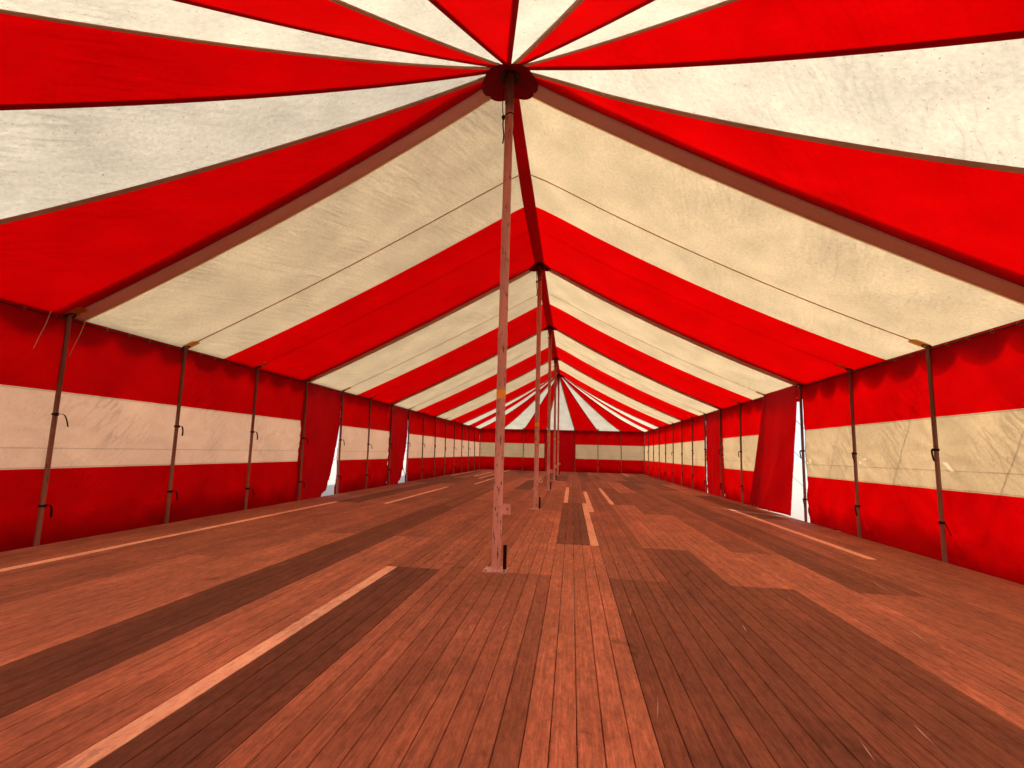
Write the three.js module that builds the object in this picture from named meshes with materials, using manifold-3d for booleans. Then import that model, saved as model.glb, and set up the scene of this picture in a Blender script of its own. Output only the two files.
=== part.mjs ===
// Circus big top: a king-pole marquee 10 m wide and 30 m long, with a ridge, hipped ends, canvas walls and a board floor.
// Millimetres, +Z up, +Y along the ridge from the near end to the far end. The origin is on the ground, mid plan.
import * as THREE from 'three';
import { mergeVertices } from 'three/addons/utils/BufferGeometryUtils.js';
import Module from 'manifold-3d';

const wasm = await Module();
wasm.setup();

// Plan: four 5 m bays between five king poles, and one hipped bay at each end.
const BAY = 5000;
const BAYS = 4;
const HALF_WIDTH = 5000;
const RIDGE_END = (BAY * BAYS) / 2;
const HALF_LENGTH = RIDGE_END + BAY;
const SPANS_PER_BAY = 3;
const SPAN = BAY / SPANS_PER_BAY;
const END_DOOR = 1790;

// Heights above the ground.
const DECK_TOP = 100;
const RIDGE = 5150;
const PITCH = 0.5055;
const HEM = 30;

// Canvas is drawn 5 mm thick; meeting faces keep a small gap.
const CANVAS = 5;
const GAP = 0.3;
const ROOF_DROP = 5.6;
const ROOF_EDGE = 5100;

// Walls and doors hang just outside the side poles.
const WALL_INNER = HALF_WIDTH + 25;
const DOOR_GAP = 400;
const DRAWN_DOOR_FACE = 4975;
const DRAWN_DOOR_INWARD = 140;
const DRAWN_DOOR_NEAR_SHIFT = 370;
const DRAWN_DOOR_FAR_SHIFT = 909;
const DRAWN_DOOR_HEM = DECK_TOP + 20;

// Scalloped valance outside the eave.
const VALANCE_INNER = 5085;
const VALANCE_DEEP = 300;
const VALANCE_CUSP = 180;
const SCALLOP = 500;
const SCALLOP_STEPS = 4;

// King poles: painted steel tube on a base plate, with a middle sleeve, a lug and a spigot through the roof.
const KING_RADIUS = 44.5;
const KING_PLATE = 220;
const KING_PLATE_THICK = 10;
const SLEEVE_RADIUS = 48.5;
const SLEEVE_MIDDLE = DECK_TOP + 2200;
const SLEEVE_LENGTH = 160;
const LUG_HEIGHT = DECK_TOP + 560;
const LUG = { reach: 82, width: 8, height: 100, hole: 15 };
const SPIGOT_RADIUS = 10;
const SPIGOT_TOP = RIDGE + 150;
const WASHER_RADIUS = 60;
const WASHER_THICK = 6;
const KNOB_RADIUS = 28;

// The band under the ridge and the round collar at each king pole.
const BAND_HALF = 90;
const COLLAR_RADIUS = 300;
const COLLAR_SKIRT = 45;

// Side poles, wall rope, guy ropes and stakes.
const SIDE_RADIUS = 24;
const SIDE_LEAN = 40;
const WALL_ROPE_RADIUS = 8;
const WALL_ROPE_Z = 2560;
const GUY_RADIUS = 8;
const GUY_REACH = 2500;
const GUY_HITCH = 150;
const EAVE_WEBBING = { inner: 5040, outer: 5120, thick: 6, past: 60 };
const STAKE_RADIUS = 16;
const STAKE_TOP = 320;
const STAKE_LEAN = 100;

// The floor: boards on cross bearers, in three sections.
const DECK_HALF_WIDTH = 4900;
const DECK_HALF_LENGTH = 14900;
const BOARD = 28;
const BEARER = 80;
const BEARERS = 9;

const KING_SIDES = 16;
const POLE_SIDES = 8;
const ROPE_SIDES = 6;
const X_AXIS = new THREE.Vector3(1, 0, 0);
const Y_AXIS = new THREE.Vector3(0, 1, 0);
const Z_AXIS = new THREE.Vector3(0, 0, 1);
const SIDE_FRAME = new THREE.Matrix4().makeBasis(Y_AXIS, Z_AXIS, X_AXIS);
const END_FRAME = new THREE.Matrix4().makeBasis(X_AXIS, Z_AXIS, Y_AXIS.clone().negate());

const red = new THREE.MeshStandardMaterial({ color: 0xb8101a, roughness: 0.8, metalness: 0 });
const cream = new THREE.MeshStandardMaterial({ color: 0xe0d0a8, roughness: 0.85, metalness: 0 });
const darkRed = new THREE.MeshStandardMaterial({ color: 0x5c1414, roughness: 0.85, metalness: 0 });
const kingPaint = new THREE.MeshStandardMaterial({ color: 0xa8645c, roughness: 0.6, metalness: 0.3 });
const darkSteel = new THREE.MeshStandardMaterial({ color: 0x3a3434, roughness: 0.55, metalness: 0.8 });
const rope = new THREE.MeshStandardMaterial({ color: 0xb9a98a, roughness: 0.9, metalness: 0 });
const boards = new THREE.MeshStandardMaterial({ color: 0x8a4a30, roughness: 0.7, metalness: 0 });

const tent = new THREE.Group();

function addPiece(name, geometry, material) {
  const mesh = new THREE.Mesh(geometry, material);
  mesh.name = name;
  tent.add(mesh);
  return mesh;
}

// Height of the roof's upper surface, and the highest level that a piece under it can reach.
function roofTop(x, y) {
  return RIDGE - PITCH * Math.max(Math.abs(x), Math.abs(y) - RIDGE_END);
}

function underRoof(reach) {
  return RIDGE - PITCH * reach - ROOF_DROP - GAP;
}

// Solids for joining and cutting.
function toSolid(geometry) {
  const plain = geometry.clone();
  plain.deleteAttribute('normal');
  plain.deleteAttribute('uv');
  const merged = mergeVertices(plain);
  const vertProperties = new Float32Array(merged.attributes.position.array);
  const triVerts = new Uint32Array(merged.index.array);
  return new wasm.Manifold(new wasm.Mesh({ numProp: 3, vertProperties, triVerts }));
}

function toGeometry(solid) {
  const { vertProperties, triVerts } = solid.getMesh();
  const geometry = new THREE.BufferGeometry();
  geometry.setAttribute('position', new THREE.BufferAttribute(vertProperties, 3));
  geometry.setIndex(new THREE.BufferAttribute(triVerts, 1));
  geometry.computeVertexNormals();
  return geometry;
}

function joined(solids) {
  return solids.reduce((whole, solid) => whole.add(solid));
}

function bar(from, to, radius, sides) {
  const along = new THREE.Vector3().subVectors(to, from);
  const geometry = new THREE.CylinderGeometry(radius, radius, along.length(), sides);
  const turn = new THREE.Quaternion().setFromUnitVectors(Y_AXIS, along.clone().normalize());
  geometry.applyQuaternion(turn);
  const middle = new THREE.Vector3().addVectors(from, to).multiplyScalar(0.5);
  geometry.translate(middle.x, middle.y, middle.z);
  return toSolid(geometry);
}

function block(low, high) {
  const size = new THREE.Vector3().subVectors(high, low);
  const geometry = new THREE.BoxGeometry(size.x, size.y, size.z);
  geometry.translate((low.x + high.x) / 2, (low.y + high.y) / 2, (low.z + high.z) / 2);
  return toSolid(geometry);
}

const point = (x, y, z) => new THREE.Vector3(x, y, z);
const GROUND_DEPTH = 200;
const ground = block(point(-9000, -19000, -GROUND_DEPTH), point(9000, 19000, 0));

// A sheet of canvas: a surface of triangles and the same surface moved by its thickness, closed round the edge.
function sheet(points, faces, thickness) {
  const [a, b, c] = faces[0].map((i) => points[i]);
  const normal = new THREE.Vector3().crossVectors(b.clone().sub(a), c.clone().sub(a));
  const outer = normal.dot(thickness) < 0 ? faces : faces.map(([i, j, k]) => [i, k, j]);
  const count = points.length;
  const triangles = [...outer, ...outer.map(([i, j, k]) => [i + count, k + count, j + count])];
  const edges = outer.flatMap(([i, j, k]) => [[i, j], [j, k], [k, i]]);
  const known = new Set(edges.map(([i, j]) => `${i},${j}`));
  for (const [i, j] of edges) {
    if (!known.has(`${j},${i}`)) {
      triangles.push([j, i, i + count], [j, i + count, j + count]);
    }
  }
  const all = [...points, ...points.map((p) => p.clone().add(thickness))];
  const geometry = new THREE.BufferGeometry().setFromPoints(all);
  geometry.setIndex(triangles.flat());
  geometry.computeVertexNormals();
  return geometry;
}

// Floor sections: boards on bearers, cut from one comb-shaped outline along Y and extruded over the width.
function floorSection(name, start, end) {
  const low = start + GAP / 2;
  const high = end - GAP / 2;
  const pitch = (high - low - BEARER) / (BEARERS - 1);
  const outline = [new THREE.Vector2(low, DECK_TOP), new THREE.Vector2(low, 0)];
  for (let i = 0; i < BEARERS; i += 1) {
    const near = low + i * pitch;
    if (i > 0) {
      outline.push(new THREE.Vector2(near, DECK_TOP - BOARD), new THREE.Vector2(near, 0));
    }
    if (i < BEARERS - 1) {
      outline.push(new THREE.Vector2(near + BEARER, 0), new THREE.Vector2(near + BEARER, DECK_TOP - BOARD));
    }
  }
  outline.push(new THREE.Vector2(high, 0), new THREE.Vector2(high, DECK_TOP));
  const settings = { depth: 2 * DECK_HALF_WIDTH, bevelEnabled: false };
  const floor = addPiece(name, new THREE.ExtrudeGeometry(new THREE.Shape(outline), settings), boards);
  floor.setRotationFromMatrix(SIDE_FRAME);
  floor.position.x = -DECK_HALF_WIDTH;
}

floorSection('floor_near', -DECK_HALF_LENGTH, -BAY);
floorSection('floor_middle', -BAY, BAY);
floorSection('floor_far', BAY, DECK_HALF_LENGTH);

// King poles on the floor, from the near end.
function kingPole() {
  const tubeTop = underRoof(KING_RADIUS);
  const plateBottom = DECK_TOP + GAP;
  const plateTop = plateBottom + KING_PLATE_THICK;
  const half = KING_PLATE / 2;
  const eye = KING_RADIUS + LUG.reach * 0.6;
  const lug = block(
    point(0, -LUG.width / 2, LUG_HEIGHT - LUG.height / 2),
    point(KING_RADIUS + LUG.reach, LUG.width / 2, LUG_HEIGHT + LUG.height / 2),
  ).subtract(bar(point(eye, -LUG.width, LUG_HEIGHT), point(eye, LUG.width, LUG_HEIGHT), LUG.hole, POLE_SIDES));
  return toGeometry(joined([
    block(point(-half, -half, plateBottom), point(half, half, plateTop)),
    bar(point(0, 0, plateBottom), point(0, 0, tubeTop), KING_RADIUS, KING_SIDES),
    bar(
      point(0, 0, SLEEVE_MIDDLE - SLEEVE_LENGTH / 2),
      point(0, 0, SLEEVE_MIDDLE + SLEEVE_LENGTH / 2),
      SLEEVE_RADIUS,
      KING_SIDES,
    ),
    lug,
    bar(point(0, 0, tubeTop - 10), point(0, 0, SPIGOT_TOP), SPIGOT_RADIUS, POLE_SIDES),
    bar(point(0, 0, RIDGE + GAP), point(0, 0, RIDGE + GAP + WASHER_THICK), WASHER_RADIUS, KING_SIDES),
    toSolid(new THREE.SphereGeometry(KNOB_RADIUS, POLE_SIDES, POLE_SIDES / 2).rotateX(Math.PI / 2).translate(0, 0, SPIGOT_TOP)),
  ]));
}

const kingPoleYs = Array.from({ length: BAYS + 1 }, (_, i) => -RIDGE_END + i * BAY);
const kingPoleGeometry = kingPole();
kingPoleYs.forEach((y, i) => {
  addPiece(`king_pole_${i + 1}`, kingPoleGeometry, kingPaint).position.y = y;
});

// The roof: one sheet over the ridge in each bay and one hipped sheet at each end, holed for the spigots.
function spigotHole(y) {
  const radius = SPIGOT_RADIUS + GAP;
  return bar(point(0, y, RIDGE - KING_RADIUS), point(0, y, RIDGE + KING_RADIUS), radius, POLE_SIDES);
}

const roofPoint = (x, y) => point(x, y, roofTop(x, y));
const roofThickness = point(0, 0, -ROOF_DROP);

for (let bay = 0; bay < BAYS; bay += 1) {
  const near = kingPoleYs[bay] + GAP / 2;
  const far = kingPoleYs[bay + 1] - GAP / 2;
  const points = [near, far].flatMap((y) => [-ROOF_EDGE, 0, ROOF_EDGE].map((x) => roofPoint(x, y)));
  const faces = [[0, 1, 4], [0, 4, 3], [1, 2, 5], [1, 5, 4]];
  const cloth = toSolid(sheet(points, faces, roofThickness));
  const holed = cloth.subtract(spigotHole(kingPoleYs[bay])).subtract(spigotHole(kingPoleYs[bay + 1]));
  addPiece(`roof_bay_${bay + 1}`, toGeometry(holed), bay % 2 ? cream : red);
}

function roofEnd(name, way) {
  const seam = way * (RIDGE_END + GAP / 2);
  const end = way * (RIDGE_END + ROOF_EDGE);
  const points = [
    roofPoint(0, seam),
    roofPoint(ROOF_EDGE, seam),
    roofPoint(ROOF_EDGE, end),
    roofPoint(-ROOF_EDGE, end),
    roofPoint(-ROOF_EDGE, seam),
  ];
  const cloth = toSolid(sheet(points, [[0, 1, 2], [0, 2, 3], [0, 3, 4]], roofThickness));
  addPiece(name, toGeometry(cloth.subtract(spigotHole(way * RIDGE_END))), red);
}

roofEnd('roof_end_near', -1);
roofEnd('roof_end_far', 1);

// The ridge band and its collars, just under the roof.
function collar(y) {
  const hole = KING_RADIUS + GAP;
  const edge = underRoof(COLLAR_RADIUS);
  const profile = [
    [hole - 10, underRoof(hole - 10)],
    [hole - 10, underRoof(hole - 10) - ROOF_DROP],
    [COLLAR_RADIUS - CANVAS, underRoof(COLLAR_RADIUS - CANVAS) - ROOF_DROP],
    [COLLAR_RADIUS - CANVAS, edge - COLLAR_SKIRT],
    [COLLAR_RADIUS, edge - COLLAR_SKIRT],
    [COLLAR_RADIUS, edge],
    [hole - 10, underRoof(hole - 10)],
  ].map(([r, z]) => new THREE.Vector2(r, z));
  const geometry = new THREE.LatheGeometry(profile, KING_SIDES);
  geometry.rotateX(Math.PI / 2);
  geometry.translate(0, y, 0);
  return outwards(geometry);
}

// A lathe's faces follow the direction of its profile, so an inside-out one is turned round.
function outwards(geometry) {
  const solid = toSolid(geometry);
  if (solid.volume() > 0) {
    return solid;
  }
  const turned = geometry.clone();
  const index = turned.index.array;
  for (let i = 0; i < index.length; i += 3) {
    [index[i + 1], index[i + 2]] = [index[i + 2], index[i + 1]];
  }
  return toSolid(turned);
}

function ridgeBand() {
  const bandPoint = (x, y) => point(x, y, underRoof(Math.abs(x)));
  const ends = [-RIDGE_END, RIDGE_END];
  const points = ends.flatMap((y) => [-BAND_HALF, 0, BAND_HALF].map((x) => bandPoint(x, y)));
  const faces = [[0, 1, 4], [0, 4, 3], [1, 2, 5], [1, 5, 4]];
  const parts = [toSolid(sheet(points, faces, roofThickness)), ...kingPoleYs.map(collar)];
  const low = underRoof(COLLAR_RADIUS);
  const holes = kingPoleYs.map((y) => bar(point(0, y, low), point(0, y, RIDGE), KING_RADIUS + GAP, KING_SIDES));
  return toGeometry(joined(parts).subtract(joined(holes)));
}

addPiece('ridge_band', ridgeBand(), darkRed);

// A canvas panel from an outline across (along the wall) and up. Out is -1 or +1, the side of the tent.
function hang(name, outline, frame, face, out, material) {
  const shape = new THREE.Shape(outline.map(([u, v]) => new THREE.Vector2(u, v)));
  const mesh = addPiece(name, new THREE.ExtrudeGeometry(shape, { depth: CANVAS, bevelEnabled: false }), material);
  mesh.setRotationFromMatrix(frame);
  if (frame === SIDE_FRAME) {
    mesh.position.x = out > 0 ? face : -face - CANVAS;
  } else {
    mesh.position.y = out > 0 ? face + CANVAS : -face;
  }
}

// Walls: straight panels between the doors. A part-open door is cut back along its free edge.
const wallTop = underRoof(WALL_INNER + CANVAS);
const sideY = (station) => -HALF_LENGTH + station * SPAN;
const CORNER = WALL_INNER + CANVAS - HALF_WIDTH;

function wallOutline(from, to, bottomCut = 0) {
  const low = from + GAP / 2;
  const high = to - GAP / 2;
  return [[low, HEM], [high - bottomCut, HEM], [high, wallTop], [low, wallTop]];
}

const DOORS = [[6, 7], [9, 10]];
const LAST = (BAYS + 2) * SPANS_PER_BAY;

for (const [side, out] of [['left', -1], ['right', 1]]) {
  const nearEnd = sideY(0) - CORNER;
  const farEnd = sideY(LAST) + CORNER;
  hang(`wall_${side}_near`, wallOutline(nearEnd, sideY(6)), SIDE_FRAME, WALL_INNER, out, red);
  hang(`wall_${side}_middle`, wallOutline(sideY(7), sideY(9)), SIDE_FRAME, WALL_INNER, out, red);
  hang(`wall_${side}_far`, wallOutline(sideY(10), farEnd), SIDE_FRAME, WALL_INNER, out, red);
}

hang('door_left_1', wallOutline(sideY(6), sideY(7), DOOR_GAP), SIDE_FRAME, WALL_INNER, -1, red);
hang('door_left_2', wallOutline(sideY(9), sideY(10), DOOR_GAP), SIDE_FRAME, WALL_INNER, -1, red);
hang('door_right_2', wallOutline(sideY(9), sideY(10)), SIDE_FRAME, WALL_INNER, 1, red);

// The first right door is drawn aside: it hangs inside the poles, with its hem pulled in over the floor.
function drawnDoor() {
  const top = underRoof(DRAWN_DOOR_FACE);
  const hem = DRAWN_DOOR_FACE - DRAWN_DOOR_INWARD;
  const near = sideY(6) + SIDE_RADIUS;
  const far = sideY(7);
  const points = [
    point(DRAWN_DOOR_FACE, near, top),
    point(DRAWN_DOOR_FACE, far, top),
    point(hem, far + DRAWN_DOOR_FAR_SHIFT, DRAWN_DOOR_HEM),
    point(hem, near + DRAWN_DOOR_NEAR_SHIFT, DRAWN_DOOR_HEM),
  ];
  return sheet(points, [[0, 1, 2], [0, 2, 3]], point(-CANVAS, 0, 0));
}

addPiece('door_right_1', drawnDoor(), red);

for (const [end, out] of [['near', -1], ['far', 1]]) {
  const edge = WALL_INNER - GAP / 2;
  const door = END_DOOR / 2;
  hang(`wall_${end}_left`, wallOutline(-edge, -door), END_FRAME, WALL_INNER + BAY * 2, out, red);
  hang(`door_${end}`, wallOutline(-door, door), END_FRAME, WALL_INNER + BAY * 2, out, red);
  hang(`wall_${end}_right`, wallOutline(door, edge), END_FRAME, WALL_INNER + BAY * 2, out, red);
}

// Valances: a straight top edge under the roof and scallops along the bottom.
function valanceOutline(half) {
  const top = underRoof(VALANCE_INNER + CANVAS);
  const scallops = Math.round((2 * half) / SCALLOP);
  const width = (2 * half) / scallops;
  const outline = [[half, top], [-half, top]];
  for (let i = 0; i < scallops * SCALLOP_STEPS; i += 1) {
    const across = i / SCALLOP_STEPS;
    const swell = Math.sin(Math.PI * (across % 1));
    outline.push([-half + across * width, top - VALANCE_CUSP - (VALANCE_DEEP - VALANCE_CUSP) * swell]);
  }
  outline.push([half, top - VALANCE_CUSP]);
  return outline;
}

const valanceLong = RIDGE_END + VALANCE_INNER + CANVAS;
hang('valance_left', valanceOutline(valanceLong), SIDE_FRAME, VALANCE_INNER, -1, red);
hang('valance_right', valanceOutline(valanceLong), SIDE_FRAME, VALANCE_INNER, 1, red);
const valanceShort = VALANCE_INNER - GAP;
hang('valance_near', valanceOutline(valanceShort), END_FRAME, VALANCE_INNER + RIDGE_END, -1, red);
hang('valance_far', valanceOutline(valanceShort), END_FRAME, VALANCE_INNER + RIDGE_END, 1, red);

// Stations round the tent: where each pole's head is, and which way is out from there.
const diagonal = Math.SQRT1_2;
const sideStation = (out, i) => ({ x: out * HALF_WIDTH, y: sideY(i), outX: out, outY: 0 });

function sideStations(out, first, last) {
  return Array.from({ length: last - first + 1 }, (_, k) => {
    const station = sideStation(out, first + k);
    const corner = first + k === 0 || first + k === LAST;
    return corner ? { ...station, outX: out * diagonal, outY: Math.sign(station.y) * diagonal } : station;
  });
}

const END_SPAN = (HALF_WIDTH - END_DOOR / 2) / SPANS_PER_BAY;

function endStations(out, side) {
  return Array.from({ length: SPANS_PER_BAY }, (_, k) => {
    const x = side * (END_DOOR / 2 + k * END_SPAN);
    return { x, y: out * HALF_LENGTH, outX: 0, outY: out };
  });
}

// Side poles lean out a little and are joined by the rope that the wall hangs from.
function sidePoles(stations) {
  const top = underRoof(HALF_WIDTH + SIDE_RADIUS);
  const below = 20;
  const lean = (station, z) => (SIDE_LEAN * (top - z)) / top;
  const at = (s, z) => {
    const cornerStretch = s.outX && s.outY ? 1 / diagonal : 1;
    const back = lean(s, z) * cornerStretch;
    return point(s.x - s.outX * back, s.y - s.outY * back, z);
  };
  const poles = stations.map((s) => bar(at(s, -below), at(s, top), SIDE_RADIUS, POLE_SIDES));
  const ropes = stations.slice(1).map((s, i) => (
    bar(at(stations[i], WALL_ROPE_Z), at(s, WALL_ROPE_Z), WALL_ROPE_RADIUS, ROPE_SIDES)
  ));
  return toGeometry(joined([...poles, ...ropes]).subtract(ground));
}

// Guy ropes run from the webbing on the eave to a stake, one from each pole.
function guyRopes(stations, alongX) {
  const { inner, outer, thick, past } = EAVE_WEBBING;
  const start = outer - GUY_RADIUS;
  const extra = start - HALF_WIDTH;
  const startZ = RIDGE - PITCH * start + GAP + thick / 2;
  const ropes = stations.flatMap((s) => {
    const stretch = s.outX && s.outY ? 1 / diagonal : 1;
    const from = point(s.x + s.outX * extra * stretch, s.y + s.outY * extra * stretch, startZ);
    const stake = (out, z) => point(s.x + s.outX * out, s.y + s.outY * out, z);
    const lean = (z) => GUY_REACH - STAKE_LEAN + (STAKE_LEAN * z) / STAKE_TOP;
    return [
      bar(from, stake(lean(GUY_HITCH), GUY_HITCH), GUY_RADIUS, ROPE_SIDES),
      bar(stake(lean(-STAKE_RADIUS), -STAKE_RADIUS), stake(lean(STAKE_TOP), STAKE_TOP), STAKE_RADIUS, ROPE_SIDES),
    ];
  });
  const along = stations.map((s) => (alongX ? s.x : s.y));
  const corner = stations.some((s) => s.outX && s.outY);
  const low = Math.min(...along) - (corner && Math.min(...along) < 0 ? outer - HALF_WIDTH : past);
  const high = Math.max(...along) + (corner && Math.max(...along) > 0 ? outer - HALF_WIDTH : past);
  const way = Math.sign(alongX ? stations[0].y : stations[0].x);
  const edge = (a, reach) => {
    const z = RIDGE - PITCH * reach + GAP;
    return alongX ? point(a, way * (RIDGE_END + reach), z) : point(way * reach, a, z);
  };
  const points = [edge(low, inner), edge(high, inner), edge(high, outer), edge(low, outer)];
  const webbing = toSolid(sheet(points, [[0, 1, 2], [0, 2, 3]], point(0, 0, thick)));
  return toGeometry(joined([webbing, ...ropes]).subtract(ground));
}

for (const [side, out] of [['left', -1], ['right', 1]]) {
  for (const [part, first, last] of [['near', 0, 6], ['middle', 7, 9], ['far', 10, LAST]]) {
    addPiece(`side_poles_${side}_${part}`, sidePoles(sideStations(out, first, last)), darkSteel);
    const guyed = sideStations(out, Math.max(first, 1), Math.min(last, LAST - 1));
    addPiece(`guy_ropes_${side}_${part}`, guyRopes(guyed, false), rope);
  }
}

for (const [end, out] of [['near', -1], ['far', 1]]) {
  for (const [side, way] of [['left', -1], ['right', 1]]) {
    const stations = endStations(out, way);
    const corner = { x: way * HALF_WIDTH, y: out * HALF_LENGTH, outX: way * diagonal, outY: out * diagonal };
    addPiece(`side_poles_${end}_${side}`, sidePoles(stations), darkSteel);
    addPiece(`guy_ropes_${end}_${side}`, guyRopes([...stations, corner], true), rope);
  }
}

export default tent;
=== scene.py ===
"""Dresses the packed big top: canvas, webbing, rope, steel, timber, and the camera and light to see them by.

Metres, in the frame of the packed model: the origin is on the ground under the middle of the tent,
+Y runs along the ridge from the near end to the far end and +Z is up.
"""

import random
from collections import namedtuple
from functools import partial
from math import atan2, ceil, copysign, cos, exp, floor, hypot, pi, radians, sin, sqrt

import bpy
from bpy.props import FloatProperty, FloatVectorProperty, IntProperty, PointerProperty
from bpy.types import Node, NodeSocket, Operator, Panel, PropertyGroup, Scene
from mathutils import Matrix, Vector
from mathutils.noise import noise


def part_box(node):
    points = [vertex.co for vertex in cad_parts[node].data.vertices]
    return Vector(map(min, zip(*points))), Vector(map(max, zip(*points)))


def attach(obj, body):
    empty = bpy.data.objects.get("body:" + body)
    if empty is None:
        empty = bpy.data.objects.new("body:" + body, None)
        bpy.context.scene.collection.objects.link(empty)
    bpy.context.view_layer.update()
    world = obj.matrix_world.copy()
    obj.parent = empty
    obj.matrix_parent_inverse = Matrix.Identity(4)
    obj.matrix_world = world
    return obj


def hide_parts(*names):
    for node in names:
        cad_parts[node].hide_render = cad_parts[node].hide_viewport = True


bl_info = {
    "name": "Circus Big Top",
    "version": (1, 0, 0),
    "blender": (4, 5, 0),
    "location": "View3D > Sidebar > Big Top",
    "description": "Dresses the packed big top in canvas, webbing, rope, steel and timber",
    "category": "Object",
}

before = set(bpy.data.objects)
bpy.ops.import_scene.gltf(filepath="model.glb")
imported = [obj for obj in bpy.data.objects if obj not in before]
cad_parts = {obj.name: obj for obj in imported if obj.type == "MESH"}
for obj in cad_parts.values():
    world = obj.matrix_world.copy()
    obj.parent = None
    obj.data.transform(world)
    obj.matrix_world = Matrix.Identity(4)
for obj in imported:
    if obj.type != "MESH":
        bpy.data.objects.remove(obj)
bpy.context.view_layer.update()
BODY = "root"
UP = Vector((0, 0, 1))
CORNERS = ((-1, -1), (1, -1), (1, 1), (-1, 1))
SIDES = ((-1, "left"), (1, "right"))
ENDS = ((-1, "near"), (1, "far"))


# Sizes of the tent, read from the packed model.
def nodes_of(start):
    return [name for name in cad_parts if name.startswith(start)]


def middle_of(node):
    low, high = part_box(node)
    return (low + high) / 2


CANVAS_DROP = 0.0056
SIDE_RADIUS = 0.024
KING_RADIUS = 0.0445
SPANS_PER_BAY = 3
SIDE_STATIONS = 19

ROOF_LOW, ROOF_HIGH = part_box("roof_bay_1")
WALL_LOW, WALL_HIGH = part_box("wall_right_middle")
VALANCE_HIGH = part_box("valance_right")[1]
DECK_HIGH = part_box("floor_middle")[1]

KING_YS = [middle_of(f"king_pole_{i}").y for i in range(1, 6)]
RIDGE_END = KING_YS[-1]
BAY = KING_YS[1] - KING_YS[0]
SPAN = BAY / SPANS_PER_BAY
HALF_LENGTH = RIDGE_END + BAY
HALF_WIDTH = HALF_LENGTH - RIDGE_END
RIDGE_Z = ROOF_HIGH.z
EAVE_REACH = ROOF_HIGH.x
PITCH = (RIDGE_Z - ROOF_LOW.z - CANVAS_DROP) / EAVE_REACH
SLOPE_LENGTH = hypot(1, PITCH)
WALL_FACE = WALL_HIGH.x
WALL_TOP = WALL_HIGH.z
HEM_Z = WALL_LOW.z
END_DOOR_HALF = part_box("door_near")[1].x
VALANCE_FACE = VALANCE_HIGH.x
VALANCE_TOP = VALANCE_HIGH.z
DECK_TOP = DECK_HIGH.z
DECK_HALF_WIDTH = DECK_HIGH.x
DECK_HALF_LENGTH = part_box("floor_far")[1].y
COLLAR_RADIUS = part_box("ridge_band")[1].x
KNOB_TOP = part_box("king_pole_1")[1].z
END_SPAN = (HALF_WIDTH - END_DOOR_HALF) / SPANS_PER_BAY
HALF_POSTS = [END_DOOR_HALF + k * END_SPAN for k in range(SPANS_PER_BAY)] + [HALF_WIDTH]

Station = namedtuple("Station", "x y out_x out_y corner")


def side_y(index):
    return -HALF_LENGTH + index * SPAN


def stations():
    """Every side pole's head on the eave line, and the way out from there."""
    found = []
    diagonal = sqrt(0.5)
    for out in (-1, 1):
        for i in range(SIDE_STATIONS):
            y = side_y(i)
            corner = i in (0, SIDE_STATIONS - 1)
            way = (out * diagonal, copysign(diagonal, y)) if corner else (out, 0)
            found.append(Station(out * HALF_WIDTH, y, *way, corner))
    for out in (-1, 1):
        for side in (-1, 1):
            found += [Station(side * x, out * HALF_LENGTH, 0, out, False) for x in HALF_POSTS[:-1]]
    return found


def even(start, end, count):
    """Values at even steps from start to end."""
    return [start + (end - start) * k / count for k in range(count + 1)]


def clamped(value, low=0.0, high=1.0):
    return min(max(value, low), high)


# What a user would change.
def linear(hex_colour):
    """A "#rrggbb" sRGB colour as linear red, green and blue."""
    values = [int(hex_colour[i:i + 2], 16) / 255 for i in (1, 3, 5)]
    return tuple(v / 12.92 if v <= 0.04045 else ((v + 0.055) / 1.055) ** 2.4 for v in values)


def length(name, description, default, **limits):
    return FloatProperty(name=name, description=description, default=default, subtype="DISTANCE",
                         unit="LENGTH", **limits)


def colour(name, description, hex_colour):
    return FloatVectorProperty(name=name, description=description, subtype="COLOR", size=3, min=0, max=1,
                               default=linear(hex_colour))


def angle(name, description, degrees):
    return FloatProperty(name=name, description=description, default=radians(degrees), subtype="ANGLE",
                         unit="ROTATION")


class CanvasSettings(PropertyGroup):
    """The tent's cloth."""
    red: colour("Red", "Dye of the red canvas", "#C40426")
    red_glow: colour("Red light", "Daylight through the red canvas", "#F8001F")
    cream: colour("Cream", "Colour of the undyed canvas", "#F3ECD8")
    cream_glow: colour("Cream light", "Daylight through the undyed canvas of the bays", "#F7E9CF")
    white_glow: colour("White light", "Daylight through the newer undyed canvas of the ends", "#FCF7E9")
    thickness: length("Thickness", "Thickness that the cloth is drawn with", 0.0015, min=0.0005)
    sag: length("Roof sag", "How far the roof hangs below a straight slope", 0.06)
    ridge_sag: length("Ridge sag", "How far the ridge hangs between two king poles", 0.02)
    ridge_round: length("Ridge rounding", "How far from the ridge line the cloth is bent round it", 0.10)
    peak: length("End peak", "How far the roof is drawn up to the first and last king poles", 0.165)
    puff: length("Roof puff", "How far the roof hangs between two webbings", 0.02)
    billow: length("Wall billow", "How far a wall stands out between two poles", 0.03)


class WebbingSettings(PropertyGroup):
    """Webbing and straps sewn to the cloth."""
    width: length("Width", "Width of the webbing along the seams", 0.05)
    thickness: length("Thickness", "Thickness of the webbing", 0.003)
    brown: colour("Brown", "Colour of the webbing down the gores", "#8A6450")
    strap: length("Strap", "Width of the straps round the side poles", 0.025)


class PoleSettings(PropertyGroup):
    """King poles and side poles."""
    king_paint: colour("King pole paint", "Colour of the king poles", "#D3B0A6")
    side_paint: colour("Side pole paint", "Colour of the side poles", "#6A4536")
    tape: colour("Tape", "Colour of the marking tape on a king pole", "#FFC838")


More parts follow.
